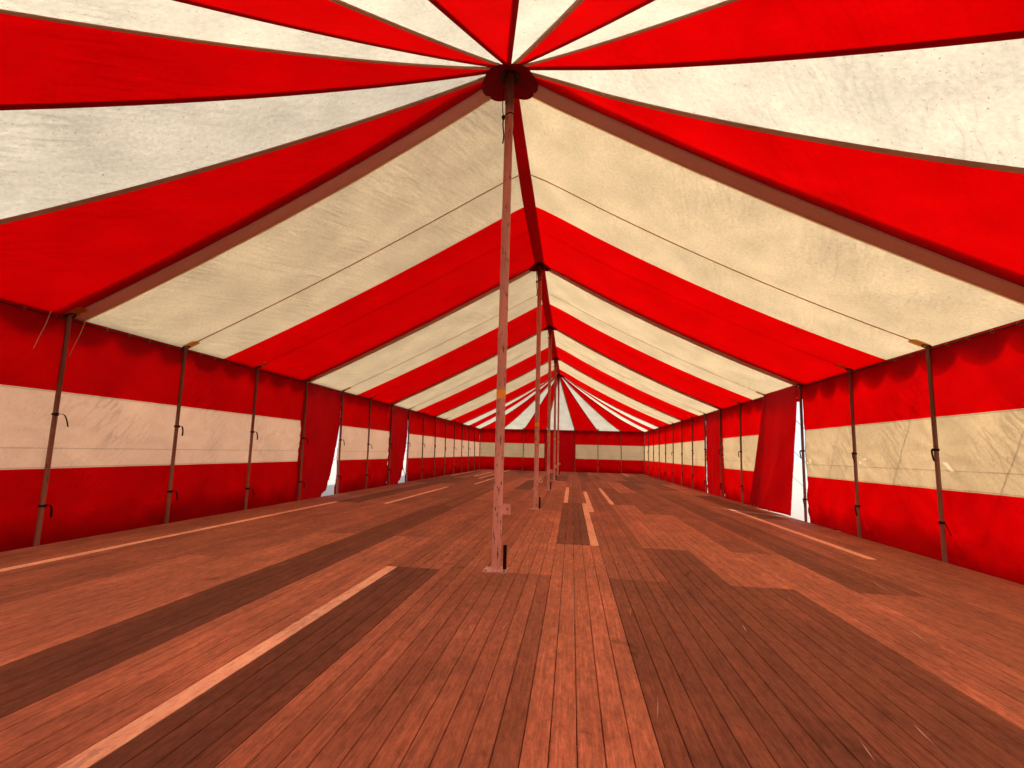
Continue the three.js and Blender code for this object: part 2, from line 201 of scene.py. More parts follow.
class RopeSettings(PropertyGroup):
    """Guy ropes and wall rope."""
    radius: length("Radius", "Radius of the ropes", 0.008)
    lay: length("Lay", "Length of one turn of the strands, drawn about twice as long as it is", 0.12)
    hemp: colour("Hemp", "Colour of the guy ropes", "#B9A98A")


class FloorSettings(PropertyGroup):
    """The board floor."""
    panel: length("Panel", "Width of a floor panel of five boards", 0.517)
    gap: length("Gap", "Gap between two boards", 0.004)
    board: length("Board", "Thickness of a board", 0.028)
    timber: colour("Timber", "Colour of a usual board", "#BF876B")
    seed: IntProperty(name="Seed", description="Seed of the boards' tones", default=11)


class StageSettings(PropertyGroup):
    """Camera and light."""
    sun: FloatProperty(name="Sun", description="Strength of the sun", default=5.8, min=0)
    sky: FloatProperty(name="Sky", description="Strength of the sky", default=1.15, min=0)
    sun_height: angle("Sun height", "Height of the sun above the horizon", 40)
    sun_bearing: angle("Sun bearing", "Bearing of the sun, from +X towards +Y", -52)
    ground: colour("Ground", "Colour of the plain floor", "#BCB8B0")


# Shapes, each as its points and faces.
def joined(parts):
    """Several shapes as one."""
    points, faces = [], []
    for part_points, part_faces in parts:
        start = len(points)
        points += [Vector(p) for p in part_points]
        faces += [tuple(start + i for i in face) for face in part_faces]
    return points, faces


def grid_faces(columns, rows):
    """Quads between the points of a grid that runs along its rows."""
    corners = [row * columns + column for row in range(rows - 1) for column in range(columns - 1)]
    return [(a, a + 1, a + columns + 1, a + columns) for a in corners]


def ring_faces(rings, sides, closed=False):
    """Quads between rings of points; closed joins the last ring to the first."""
    faces = []
    for ring in range(rings if closed else rings - 1):
        below, above = ring * sides, (ring + 1) % rings * sides
        faces += [(below + k, below + (k + 1) % sides, above + (k + 1) % sides, above + k)
                  for k in range(sides)]
    return faces


def turned_over(faces):
    return [face[::-1] for face in faces]


def rings_round(profile, sides, centre=(0, 0)):
    """A ring of points round Z for each (radius, height) of a profile."""
    turns = [2 * pi * k / sides for k in range(sides)]
    return [Vector((centre[0] + r * cos(turn), centre[1] + r * sin(turn), z))
            for r, z in profile for turn in turns]


def lathe(profile, sides, centre=(0, 0)):
    """A closed shape turned round Z from a profile whose first and last points lie on the axis."""
    foot, *middle, top = profile
    points = [Vector((*centre, foot[1])), *rings_round(middle, sides, centre), Vector((*centre, top[1]))]
    last = len(points) - 1
    upper = last - sides
    faces = [tuple(1 + i for i in face) for face in ring_faces(len(middle), sides)]
    for k in range(sides):
        following = (k + 1) % sides
        faces += [(0, 1 + following, 1 + k), (upper + k, upper + following, last)]
    return points, faces


def bent_bar(path, width, thickness, side):
    """A flat bar along a path; side is the direction of its width, the same all along."""
    side = Vector(side).normalized()
    points = []
    for i, place in enumerate(path):
        along = Vector(path[min(i + 1, len(path) - 1)]) - Vector(path[max(i - 1, 0)])
        normal = side.cross(along.normalized()).normalized()
        for across, up in CORNERS:
            points.append(Vector(place) + side * across * width / 2 + normal * up * thickness / 2)
    end = len(points) - 4
    return points, ring_faces(len(path), 4) + [(3, 2, 1, 0), (end, end + 1, end + 2, end + 3)]


def box_shape(low, high):
    (x0, y0, z0), (x1, y1, z1) = low, high
    corners = [Vector((x, y, z)) for z in (z0, z1) for y in (y0, y1) for x in (x0, x1)]
    faces = [(0, 2, 3, 1), (4, 5, 7, 6), (0, 1, 5, 4), (2, 6, 7, 3), (0, 4, 6, 2), (1, 3, 7, 5)]
    return corners, faces


def wire_ring(radius, thick, sides, round_sides):
    """A ring of round wire lying flat round Z."""
    points = []
    for k in range(sides):
        turn = 2 * pi * k / sides
        way = Vector((cos(turn), sin(turn), 0))
        for m in range(round_sides):
            roll = 2 * pi * m / round_sides
            points.append(way * (radius + thick * cos(roll)) + UP * thick * sin(roll))
    return points, turned_over(ring_faces(sides, round_sides, closed=True))


# Pieces.
def make_mesh(name, points, faces, uvs=None, slots=None, smooth=True):
    """A mesh from points and faces; uvs give each point its place on the flat cloth, in metres."""
    mesh = bpy.data.meshes.new(name)
    mesh.from_pydata([tuple(p) for p in points], [], faces)
    if slots is not None:
        mesh.polygons.foreach_set("material_index", slots)
    if uvs is not None:
        layer = mesh.uv_layers.new(name="cloth")
        for loop in mesh.loops:
            layer.data[loop.index].uv = uvs[loop.vertex_index]
    mesh.polygons.foreach_set("use_smooth", [smooth] * len(mesh.polygons))
    return mesh


def add_object(name, data, materials=()):
    for material in materials:
        data.materials.append(material)
    made = bpy.data.objects.new(name, data)
    bpy.context.scene.collection.objects.link(made)
    return made


def settle(piece, slot, *nodes):
    """Every piece rides on the tent's one body and may stand for CAD nodes, whose parts it hides; slot is not
    used.
    """
    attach(piece, BODY)
    if nodes:
        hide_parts(*nodes)
    return piece


SHARP_FROM = radians(35)


def solid_piece(name, shapes, material, slot, *nodes):
    """Shapes as one piece, with its edges kept sharp."""
    piece = add_object(name, make_mesh(name, *joined(shapes)), [material_for(material)])
    piece.data.set_sharp_from_angle(angle=SHARP_FROM)
    return settle(piece, slot, *nodes)


def cloth_piece(mesh, materials, slot, *nodes, outside=-1):
    """A sheet as a piece; outside says on which side of the sheet its thickness lies."""
    piece = add_object(mesh.name, mesh, [material_for(material) for material in materials])
    solid = piece.modifiers.new("thickness", "SOLIDIFY")
    solid.thickness = bpy.context.scene.tent_canvas.thickness
    solid.offset = outside
    return settle(piece, slot, *nodes)


def facing(mesh, way):
    """Turns a cloth's faces over if most of them look away from a direction."""
    way = Vector(way)
    if sum(face.normal.dot(way) * face.area for face in mesh.polygons) < 0:
        mesh.flip_normals()
    return mesh


# Node trees.
def add_node(tree, kind, links=None, **settings):
    """Adds a node with its settings. links give its inputs, by name or number: a value, an output, or a node
    for that node's first output."""
    made = tree.nodes.new(kind)
    for name, value in settings.items():
        setattr(made, name, value)
    for key, value in (links or {}).items():
        socket = made.inputs[key]
        if isinstance(value, Node):
            value = value.outputs[0]
        if isinstance(value, NodeSocket):
            tree.links.new(value, socket)
        else:
            socket.default_value = value
    return made


def level_curve(add, given):
    """The lines of a mesh as curves that keep level, turned by their "tilt" attribute."""
    curve = add("GeometryNodeMeshToCurve", {"Mesh": given["Geometry"]})
    level = add("GeometryNodeSetCurveNormal", {"Curve": curve}, mode="Z_UP")
    tilt = add("GeometryNodeInputNamedAttribute", {"Name": "tilt"}, data_type="FLOAT")
    return add("GeometryNodeSetCurveTilt", {"Curve": level, "Tilt": tilt})


def flat_sides(add, given, section):
    """The section swept along each line, with flat sides."""
    swept = add("GeometryNodeCurveToMesh",
                {"Curve": level_curve(add, given), "Profile Curve": section, "Fill Caps": True})
    return add("GeometryNodeSetShadeSmooth", {"Geometry": swept, "Shade Smooth": False})


def flat_strip(add, given):
    """Sews a flat strip along each line."""
    size = {"Width": given["Width"], "Height": given["Thickness"]}
    return flat_sides(add, given, add("GeometryNodeCurvePrimitiveQuadrilateral", size))


def board(add, given):
    """Lays a board with eased edges along each line."""
    size = {"Width": given["Width"], "Height": given["Thickness"]}
    section = add("GeometryNodeCurvePrimitiveQuadrilateral", size)
    eased = add("GeometryNodeFilletCurve", {"Curve": section, "Radius": given["Eased Edge"], "Count": 1},
                mode="POLY")
    return flat_sides(add, given, eased)


def round_tube(add, given):
    """Runs a round tube along each line."""
    ring = add("GeometryNodeCurvePrimitiveCircle", {"Resolution": given["Sides"], "Radius": given["Radius"]})
    return add("GeometryNodeCurveToMesh",
               {"Curve": level_curve(add, given), "Profile Curve": ring, "Fill Caps": True})


def laid_rope(add, given):
    """Lays a rope of twisted strands along each line."""
    line = add("GeometryNodeMeshToCurve", {"Mesh": given["Geometry"]})
    stepped = add("GeometryNodeResampleCurve", {"Curve": line, "Length": given["Step"]}, mode="LENGTH")
    level = add("GeometryNodeSetCurveNormal", {"Curve": stepped}, mode="Z_UP")
    along = add("GeometryNodeSplineParameter").outputs["Length"]
    turns = add("ShaderNodeMath", {0: along, 1: given["Lay"]}, operation="DIVIDE")
    twist = add("ShaderNodeMath", {0: turns, 1: 2 * pi}, operation="MULTIPLY")
    twisted = add("GeometryNodeSetCurveTilt", {"Curve": level, "Tilt": twist})
    # Three points to a strand: one on its crown and two beside it.
    around = add("ShaderNodeMath", {0: given["Strands"], 1: 3}, operation="MULTIPLY")
    circle = add("GeometryNodeCurvePrimitiveCircle", {"Resolution": around, "Radius": given["Radius"]})
    index = add("GeometryNodeInputIndex")
    strand_turn = add("ShaderNodeMath", {0: index, 1: 2 * pi / 3}, operation="MULTIPLY")
    lobe = add("ShaderNodeMath", {0: strand_turn}, operation="COSINE")
    swell = add("ShaderNodeMath", {0: lobe, 1: given["Groove"], 2: 1.0}, operation="MULTIPLY_ADD")
    place = add("GeometryNodeInputPosition")
    swollen = add("ShaderNodeVectorMath", {0: place, "Scale": swell}, operation="SCALE")
    strands = add("GeometryNodeSetPosition", {"Geometry": circle, "Position": swollen})
    return add("GeometryNodeCurveToMesh", {"Curve": twisted, "Profile Curve": strands, "Fill Caps": True})


def fittings(add, given):
    """Puts a fitting on each point, turned by the point's "turn" attribute and a little more at random."""
    fitting = add("GeometryNodeObjectInfo", {"Object": given["Fitting"]}, transform_space="ORIGINAL")
    turn = add("GeometryNodeInputNamedAttribute", {"Name": "turn"}, data_type="FLOAT_VECTOR")
    opposite = add("ShaderNodeMath", {0: given["Uneven"], 1: -1}, operation="MULTIPLY")
    jitter = add("FunctionNodeRandomValue", {2: opposite, 3: given["Uneven"], "Seed": given["Seed"]},
                 data_type="FLOAT")
    swing = add("ShaderNodeCombineXYZ", {"Z": jitter.outputs[1]})
    placed = add("GeometryNodeInstanceOnPoints", {"Points": given["Geometry"], "Rotation": turn,
                                                  "Instance": fitting.outputs["Geometry"]})
    return add("GeometryNodeRotateInstances", {"Instances": placed, "Rotation": swing, "Local Space": True})


def row_of_fittings(add, given):
    """Puts a fitting at even steps along each line, facing along it."""
    places = add("GeometryNodeCurveToPoints", {"Curve": level_curve(add, given), "Length": given["Spacing"]},
                 mode="LENGTH")
    fitting = add("GeometryNodeObjectInfo", {"Object": given["Fitting"]}, transform_space="ORIGINAL")
    return add("GeometryNodeInstanceOnPoints", {"Points": places, "Rotation": places.outputs["Rotation"],
                                                "Instance": fitting.outputs["Geometry"]})


# What each layout takes, and its usual value; None is for an object.
LAYOUTS = {
    flat_strip: {"Width": 0.05, "Thickness": 0.003},
    board: {"Width": 0.1, "Thickness": 0.028, "Eased Edge": 0.002},
    round_tube: {"Radius": 0.024, "Sides": 16},
    laid_rope: {"Radius": 0.008, "Strands": 3, "Lay": 0.12, "Step": 0.03, "Groove": 0.12},
    fittings: {"Fitting": None, "Seed": 1, "Uneven": 0.0},
    row_of_fittings: {"Fitting": None, "Spacing": 0.2},
}
SOCKETS = {float: "NodeSocketFloat", int: "NodeSocketInt", type(None): "NodeSocketObject"}


def tree_of(layout):
    """The node tree of a layout, built when first used. Its last two nodes realize and set the material."""
    name = layout.__name__.replace("_", " ").capitalize()
    if name in bpy.data.node_groups:
        return bpy.data.node_groups[name]
    tree = bpy.data.node_groups.new(name, "GeometryNodeTree")
    tree.interface.new_socket("Geometry", in_out="INPUT", socket_type="NodeSocketGeometry")
    for label, default in LAYOUTS[layout].items():
        socket = tree.interface.new_socket(label, in_out="INPUT", socket_type=SOCKETS[type(default)])
        if default is not None:
            socket.default_value = default
    tree.interface.new_socket("Material", in_out="INPUT", socket_type="NodeSocketMaterial")
    tree.interface.new_socket("Geometry", in_out="OUTPUT", socket_type="NodeSocketGeometry")
    add = partial(add_node, tree)
    given = add("NodeGroupInput").outputs
    real = add("GeometryNodeRealizeInstances", {"Geometry": layout(add, given)})
    painted = add("GeometryNodeSetMaterial", {"Geometry": real, "Material": given["Material"]})
    add("NodeGroupOutput", {0: painted})
    return tree


def lay_out(name, mesh, layout, inputs, material, slot, *nodes):
    """Runs a layout on a mesh and leaves its result as a plain piece at the origin."""
    made = add_object(name, mesh)
    tree = tree_of(layout)
    modifier = made.modifiers.new("layout", "NODES")
    modifier.node_group = tree
    identifiers = {item.name: item.identifier for item in tree.interface.items_tree if item.in_out == "INPUT"}
    for label, value in {**inputs, "Material": material_for(material)}.items():
        modifier[identifiers[label]] = value
    evaluated = made.evaluated_get(bpy.context.evaluated_depsgraph_get())
    result = bpy.data.meshes.new_from_object(evaluated)
    made.modifiers.clear()
    made.data = result
    if not result.polygons:
        raise RuntimeError(f"{name}: the node tree made nothing")
    return settle(made, slot, *nodes)


def lines_mesh(name, lines, tilts=None, tones=None):
    """A mesh of separate lines; tilts give each of their points a number, and tones each line."""
    points, edges = [], []
    for line in lines:
        start = len(points)
        points += [tuple(p) for p in line]
        edges += [(start + k, start + k + 1) for k in range(len(line) - 1)]
    mesh = bpy.data.meshes.new(name)
    mesh.from_pydata(points, edges, [])
    tilt_values = [value for tilt in tilts for value in tilt] if tilts else [0.0] * len(points)
    mesh.attributes.new("tilt", "FLOAT", "POINT").data.foreach_set("value", tilt_values)
    if tones:
        tone_values = [tone for line, tone in zip(lines, tones) for _ in line]
        mesh.attributes.new("tone", "FLOAT", "POINT").data.foreach_set("value", tone_values)
    return mesh


def tilt_onto(along, normal):
    """The tilt that lays a strip, which runs along a line, flat on a surface with that normal."""
    along, normal = Vector(along).normalized(), Vector(normal).normalized()
    level = along.cross(UP).normalized()
    across = along.cross(normal).normalized()
    return atan2(along.dot(level.cross(across)), level.dot(across))


def strips(name, lines, width, thickness, material, slot):
    """Strips along (line, tilts) pairs."""
    mesh = lines_mesh(name, [line for line, _ in lines], [tilts for _, tilts in lines])
    return lay_out(name, mesh, flat_strip, {"Width": width, "Thickness": thickness}, material, slot)


def repeat(name, mesh, layout, shape, inputs, material, slot, smooth=True):
    """Lays out a small shape that a tree repeats, and takes the shape away afterwards."""
    fitting = add_object(f"{name}_one", make_mesh(f"{name}_one", *shape, smooth=smooth))
    made = lay_out(name, mesh, layout, {"Fitting": fitting, **inputs}, material, slot)
    bpy.data.objects.remove(fitting)
    return made


def put_fittings(name, shape, places, material, slot, seed=1, uneven=0.0, smooth=True):
    """One shape at many (place, turn matrix) pairs."""
    mesh = bpy.data.meshes.new(name)
    mesh.from_pydata([tuple(place) for place, _ in places], [], [])
    turns = [value for _, turn in places for value in turn.to_euler()]
    mesh.attributes.new("turn", "FLOAT_VECTOR", "POINT").data.foreach_set("vector", turns)
    return repeat(name, mesh, fittings, shape, {"Seed": seed, "Uneven": uneven}, material, slot, smooth)


# Materials. A maker adds a material's nodes and gives back its surface.
def every(millimetres):
    """The scale of a texture that repeats its features at that distance."""
    return 1000 / millimetres


def rgba(values):
    return (*values, 1.0)


def darker(values, share):
    return tuple(v * share for v in values)


# The two colours that a mix node goes between, and what it gives.
FROM, TO, MIXED = 6, 7, 2


def product(add, factors):
    """The factors multiplied with each other."""
    total = factors[0]
    for factor in factors[1:]:
        total = add("ShaderNodeMath", {0: total, 1: factor}, operation="MULTIPLY")
    return total


def set_steps(ramp, steps):
    """Gives a colour ramp its (position, colour) steps, lowest first."""
    for element, (position, values) in zip(ramp.elements, (steps[0], steps[-1])):
        element.position, element.color = position, rgba(values)
    for position, values in steps[1:-1]:
        ramp.elements.new(position).color = rgba(values)


# A rain flap lets less light through towards its seam, fading out across its width: painted shade that
# softens the edge of the flap's shadow.
SEAM_OPENNESS = 0.24
TUCK_HALF = 0.006
# The painted shade on a wall's foot fades out between these heights above its hem.
SPLASH_LOW = 0.34
SPLASH_HIGH = 0.66


def canvas_look(add, dye, glow, openness=0.6, clouds=0.1, wrinkles=0.04, specks=0.0, mottle=0.08, tucks=(),
                seam_fade=None, slant=50, foot=None):
    """Woven cotton canvas. Daylight glows through it, evenly but for soiled clouds, a fine mottle of thin and
    thick yarn, specks of mildew, thin slanting creases from folding, darkened along their lines as painted
    shade, tucks sewn level across a wall, and a wavy band of painted shade on a wall's foot."""
    flat = add("ShaderNodeUVMap", uv_map="cloth")
    place = add("ShaderNodeSeparateXYZ", {0: flat})
    soil = add("ShaderNodeTexNoise", {"Vector": flat, "Scale": every(650), "Detail": 5.0, "Roughness": 0.6})
    # Slubs in the yarn are 1 to 3 mm across, drawn at 40 mm so that they show.
    slubs = add("ShaderNodeTexNoise", {"Vector": flat, "Scale": every(40), "Detail": 5.0, "Roughness": 0.8})
    # The specks of mildew are drawn about 10 mm across, twice as wide as most are.
    mildew = add("ShaderNodeTexNoise", {"Vector": flat, "Scale": every(24), "Detail": 2.0, "Roughness": 0.5})
    patterns = ((soil, 0.3, 0.7, clouds), (slubs, 0.35, 0.65, mottle), (mildew, 0.27, 0.33, specks))
    shades = [add("ShaderNodeMapRange", {"Value": pattern, "From Min": low, "From Max": high,
                                         "To Min": 1 - depth, "To Max": 1.0})
              for pattern, low, high, depth in patterns]
    askew = add("ShaderNodeMapping", {"Vector": flat, "Rotation": (0, 0, radians(slant)), "Scale": (5, 1, 1)},
                vector_type="TEXTURE")
    folds = add("ShaderNodeTexNoise", {"Vector": askew, "Scale": every(85), "Detail": 1.0, "Distortion": 0.2})
    aside = add("ShaderNodeMath", {0: folds, 1: 0.5}, operation="SUBTRACT")
    off_line = add("ShaderNodeMath", {0: aside}, operation="ABSOLUTE")
    on_line = add("ShaderNodeMapRange", {"Value": off_line, "From Max": 0.045, "To Min": 1.0, "To Max": 0.0})
    patches = add("ShaderNodeTexNoise", {"Vector": flat, "Scale": every(900), "Detail": 1.0})
    bundles = add("ShaderNodeMapRange", {"Value": patches, "From Min": 0.46, "From Max": 0.66})
    creased = product(add, (on_line, bundles))
    # Painted shade: the cloth is darkened along its crease lines.
    shades.append(add("ShaderNodeMapRange", {"Value": creased, "To Min": 1.0, "To Max": 1 - wrinkles}))
    for height in tucks:
        sewn = add("ShaderNodeMath", {0: place.outputs["Y"], 1: height, 2: TUCK_HALF}, operation="COMPARE")
        shades.append(add("ShaderNodeMapRange", {"Value": sewn, "To Min": 1.0, "To Max": 0.8}))
    if foot is not None:
        # Painted shade: a wall darkens towards its foot, below a wavy line.
        splash = add("ShaderNodeMath", {0: soil, 1: 0.5, 2: place.outputs["Y"]}, operation="MULTIPLY_ADD")
        shades.append(add("ShaderNodeMapRange", {"Value": splash, "From Min": foot + SPLASH_LOW,
                                                 "From Max": foot + SPLASH_HIGH, "To Min": 0.66}))
    shade = product(add, shades)
    # The weave is drawn at 4 mm, several times coarser than it is.
    weave = add("ShaderNodeTexChecker", {"Vector": flat, "Scale": every(4)}).outputs["Fac"]
    relief_share = add("ShaderNodeMapRange", {"Value": bundles, "To Min": 1.6, "To Max": 5.2})
    weak_creases = add("ShaderNodeMath", {0: creased, 1: 0.3}, operation="MULTIPLY")
    puckers = add("ShaderNodeMath", {0: folds, 1: relief_share, 2: weak_creases}, operation="MULTIPLY_ADD")
    relief = add("ShaderNodeMath", {0: weave, 1: 0.1, 2: puckers}, operation="MULTIPLY_ADD")
    bump = add("ShaderNodeBump", {"Strength": 1.0, "Distance": 0.004, "Height": relief})
    dyed = add("ShaderNodeVectorMath", {0: dye, "Scale": shade}, operation="SCALE")
    lit = add("ShaderNodeVectorMath", {0: glow, "Scale": shade}, operation="SCALE")
    face = add("ShaderNodeBsdfPrincipled", {"Base Color": dyed, "Roughness": 0.75, "Normal": bump,
                                            "Specular IOR Level": 0.15})
    through = add("ShaderNodeBsdfTranslucent", {"Color": lit, "Normal": bump})
    # Painted shade: a rain flap lets less light through towards its seam.
    if seam_fade:
        openness = add("ShaderNodeMapRange", {
            "Value": place.outputs["X"], "From Min": 0.03, "From Max": seam_fade,
            "To Min": SEAM_OPENNESS, "To Max": openness})
    return add("ShaderNodeMixShader", {0: openness, 1: face, 2: through})


def webbing_look(add, dye, glow=None, openness=0.0):
    """Woven webbing: ribbed across, dull, with soiled patches. Thin webbing lets some light through."""
    glow = glow or dye
    place = add("ShaderNodeTexCoord").outputs["Object"]
    soil = add("ShaderNodeTexNoise", {"Vector": place, "Scale": every(140), "Detail": 5.0, "Roughness": 0.6})
    # The ribs are drawn 5 mm apart, about twice as coarse as they are.
    ribs = add("ShaderNodeTexNoise", {"Vector": place, "Scale": every(5), "Detail": 1.0})
    bump = add("ShaderNodeBump", {"Strength": 0.3, "Distance": 0.002, "Height": ribs})
    tone = {"Factor": soil, FROM: rgba(darker(dye, 0.6)), TO: rgba(dye)}
    light = {"Factor": soil, FROM: rgba(darker(glow, 0.75)), TO: rgba(glow)}
    tone, light = (add("ShaderNodeMix", colours, data_type="RGBA") for colours in (tone, light))
    face = add("ShaderNodeBsdfPrincipled", {"Base Color": tone.outputs[MIXED], "Roughness": 0.9,
                                            "Specular IOR Level": 0.2, "Normal": bump})
    through = add("ShaderNodeBsdfTranslucent", {"Color": light.outputs[MIXED]})
    return add("ShaderNodeMixShader", {0: openness, 1: face, 2: through})


BARE_METAL = linear("#5A3424")


def paint_look(add, paint, wear=0.42, foot=None, head=None):
    """Brushed-on paint over steel tube, chipped to brown metal, with streaks along the pole. The paint may be
    paler towards the foot and darker towards the head; the top of a king pole, under its collar, is painted
    much darker as painted shade."""
    foot, head = foot or paint, head or paint
    place = add("ShaderNodeTexCoord").outputs["Object"]
    along = add("ShaderNodeMapping", {"Vector": place, "Scale": (1, 1, 0.22)})
    chips = add("ShaderNodeTexNoise", {"Vector": along, "Scale": every(26), "Detail": 6.0, "Roughness": 0.72})
    bare = add("ShaderNodeMapRange", {"Value": chips, "From Min": wear - 0.06, "From Max": wear,
                                      "To Min": 1.0, "To Max": 0.0})
    streaks = add("ShaderNodeTexNoise", {"Vector": along, "Scale": every(160), "Detail": 4.0,
                                         "Roughness": 0.55})
    share = add("ShaderNodeMapRange", {"Value": streaks, "From Min": 0.3, "From Max": 0.7,
                                       "To Min": 0.68, "To Max": 1.04})
    up = add("ShaderNodeSeparateXYZ", {0: place}).outputs["Z"]
    height = add("ShaderNodeMath", {0: up, 1: RIDGE_Z}, operation="DIVIDE")
    layers = add("ShaderNodeValToRGB", {"Fac": height})
    # Painted shade: the top of a king pole, under its collar, is drawn much darker.
    set_steps(layers.color_ramp, ((0.12, foot), (0.36, paint), (0.92, head), (0.95, darker(head, 0.28))))
    coat = add("ShaderNodeVectorMath", {0: layers, "Scale": share}, operation="SCALE")
    polish = add("ShaderNodeMapRange", {"Value": bare, "To Min": 0.5, "To Max": 0.75})
    bump = add("ShaderNodeBump", {"Strength": 0.35, "Distance": 0.002, "Height": bare}, invert=True)
    tone = add("ShaderNodeMix", {"Factor": bare, FROM: coat, TO: rgba(BARE_METAL)}, data_type="RGBA")
    return add("ShaderNodeBsdfPrincipled", {"Base Color": tone.outputs[MIXED], "Roughness": polish,
                                            "Metallic": 0.1, "Normal": bump})


def zinc_look(add, zinc):
    """Hot-dip galvanised steel: grey spangles about 12 mm across, half dull."""
    place = add("ShaderNodeTexCoord").outputs["Object"]
    spangle = add("ShaderNodeTexVoronoi", {"Vector": place, "Scale": every(12)}).outputs["Color"]
    tone = add("ShaderNodeMix", {"Factor": spangle, FROM: rgba(darker(zinc, 0.7)), TO: rgba(zinc)},
               data_type="RGBA")
    return add("ShaderNodeBsdfPrincipled", {"Base Color": tone.outputs[MIXED], "Roughness": 0.45,
                                            "Metallic": 0.85})


def rope_look(add, hemp):
    """Laid hemp rope: pale strands, darker and dirty in the grooves."""
    place = add("ShaderNodeTexCoord").outputs["Object"]
    fibres = add("ShaderNodeTexNoise", {"Vector": place, "Scale": every(9), "Detail": 4.0, "Roughness": 0.7})
    tone = add("ShaderNodeMix", {"Factor": fibres, FROM: rgba(darker(hemp, 0.5)), TO: rgba(hemp)},
               data_type="RGBA")
    bump = add("ShaderNodeBump", {"Strength": 0.5, "Distance": 0.002, "Height": fibres})
    return add("ShaderNodeBsdfPrincipled", {"Base Color": tone.outputs[MIXED], "Roughness": 0.95,
                                            "Normal": bump})


# The floor's patterns: what they follow, stretch, distance in millimetres, roughness, the range of the noise
# that counts, and the least and most shade.
GRAIN, TREAD, DIRT, STAIN = range(4)
FLOOR_PATTERNS = {
    GRAIN: ("moved", (1, 0.03, 1), 12, 0.75, 0.3, 0.7, 0.62, 1.22),
    TREAD: ("place", (1, 0.45, 1), 380, 0.7, 0.3, 0.7, 0.68, 1.22),
    DIRT: ("place", (1, 0.3, 1), 34, 0.85, 0.36, 0.58, 0.66, 1.12),
    STAIN: ("place", (1, 0.7, 1), 160, 0.5, 0.24, 0.36, 0.6, 1.0),
}
PALE_TIMBER = linear("#FFDCBC")
SCRATCH = linear("#E2CDB8")


def timber_look(add, timber):
    """Sawn hardwood boards, oiled and trodden: a tone for each board, grain along it, ground-in dirt, scuffs
    and white scratches."""
    place = add("ShaderNodeTexCoord").outputs["Object"]
    tone = add("ShaderNodeAttribute", attribute_name="tone", attribute_type="GEOMETRY").outputs["Fac"]
    tones = add("ShaderNodeValToRGB", {"Fac": tone})
    shares = ((0.0, 0.2), (0.3, 0.5), (0.5, 0.95), (0.7, 1.5), (0.85, 1.75))
    set_steps(tones.color_ramp, [*[(position, darker(timber, share)) for position, share in shares],
                                 (1.0, darker(PALE_TIMBER, 1.3))])
    # Each board takes its grain from another part of the pattern.
    vectors = {"place": place, "moved": add("ShaderNodeVectorMath", {0: place, 1: tone}, operation="ADD")}
    patterns, shades = [], []
    for vector, stretch, size, rough, low, high, least, most in FLOOR_PATTERNS.values():
        way = add("ShaderNodeMapping", {"Vector": vectors[vector], "Scale": stretch})
        pattern = add("ShaderNodeTexNoise", {"Vector": way, "Scale": every(size), "Detail": 6.0,
                                             "Roughness": rough, "Distortion": 0.4})
        patterns.append(pattern)
        shades.append(add("ShaderNodeMapRange", {"Value": pattern, "From Min": low, "From Max": high,
                                                 "To Min": least, "To Max": most}))
    wood = add("ShaderNodeVectorMath", {0: tones, "Scale": product(add, shades)}, operation="SCALE")
    scratch_way = add("ShaderNodeMapping", {"Vector": place, "Rotation": (0, 0, radians(80)),
                                            "Scale": (30, 1, 1)}, vector_type="TEXTURE")
    scratches = add("ShaderNodeTexNoise", {"Vector": scratch_way, "Scale": every(24), "Detail": 2.0})
    scratched = add("ShaderNodeMapRange", {"Value": scratches, "From Min": 0.73, "From Max": 0.77})
    worn = add("ShaderNodeMix", {"Factor": scratched, FROM: wood, TO: rgba(SCRATCH)}, data_type="RGBA")
    gloss = add("ShaderNodeMapRange", {"Value": patterns[TREAD], "To Min": 0.58, "To Max": 0.85})
    bump = add("ShaderNodeBump", {"Strength": 0.35, "Distance": 0.002, "Height": patterns[GRAIN]})
    return add("ShaderNodeBsdfPrincipled", {"Base Color": worn.outputs[MIXED], "Roughness": gloss,
                                            "Specular IOR Level": 0.3, "Normal": bump})


def plain_look(add, values, roughness=0.8, mottle=0.15, size=60):
    """Leather, tape, brass and the ground: one colour, a little uneven."""
    place = add("ShaderNodeTexCoord").outputs["Object"]
    uneven = add("ShaderNodeTexNoise", {"Vector": place, "Scale": every(size), "Detail": 4.0})
    tone = add("ShaderNodeMix", {"Factor": uneven, FROM: rgba(darker(values, 1 - mottle)), TO: rgba(values)},
               data_type="RGBA")
    return add("ShaderNodeBsdfPrincipled", {"Base Color": tone.outputs[MIXED], "Roughness": roughness})


MADE = {}
RAIN_FLAP = 0.18


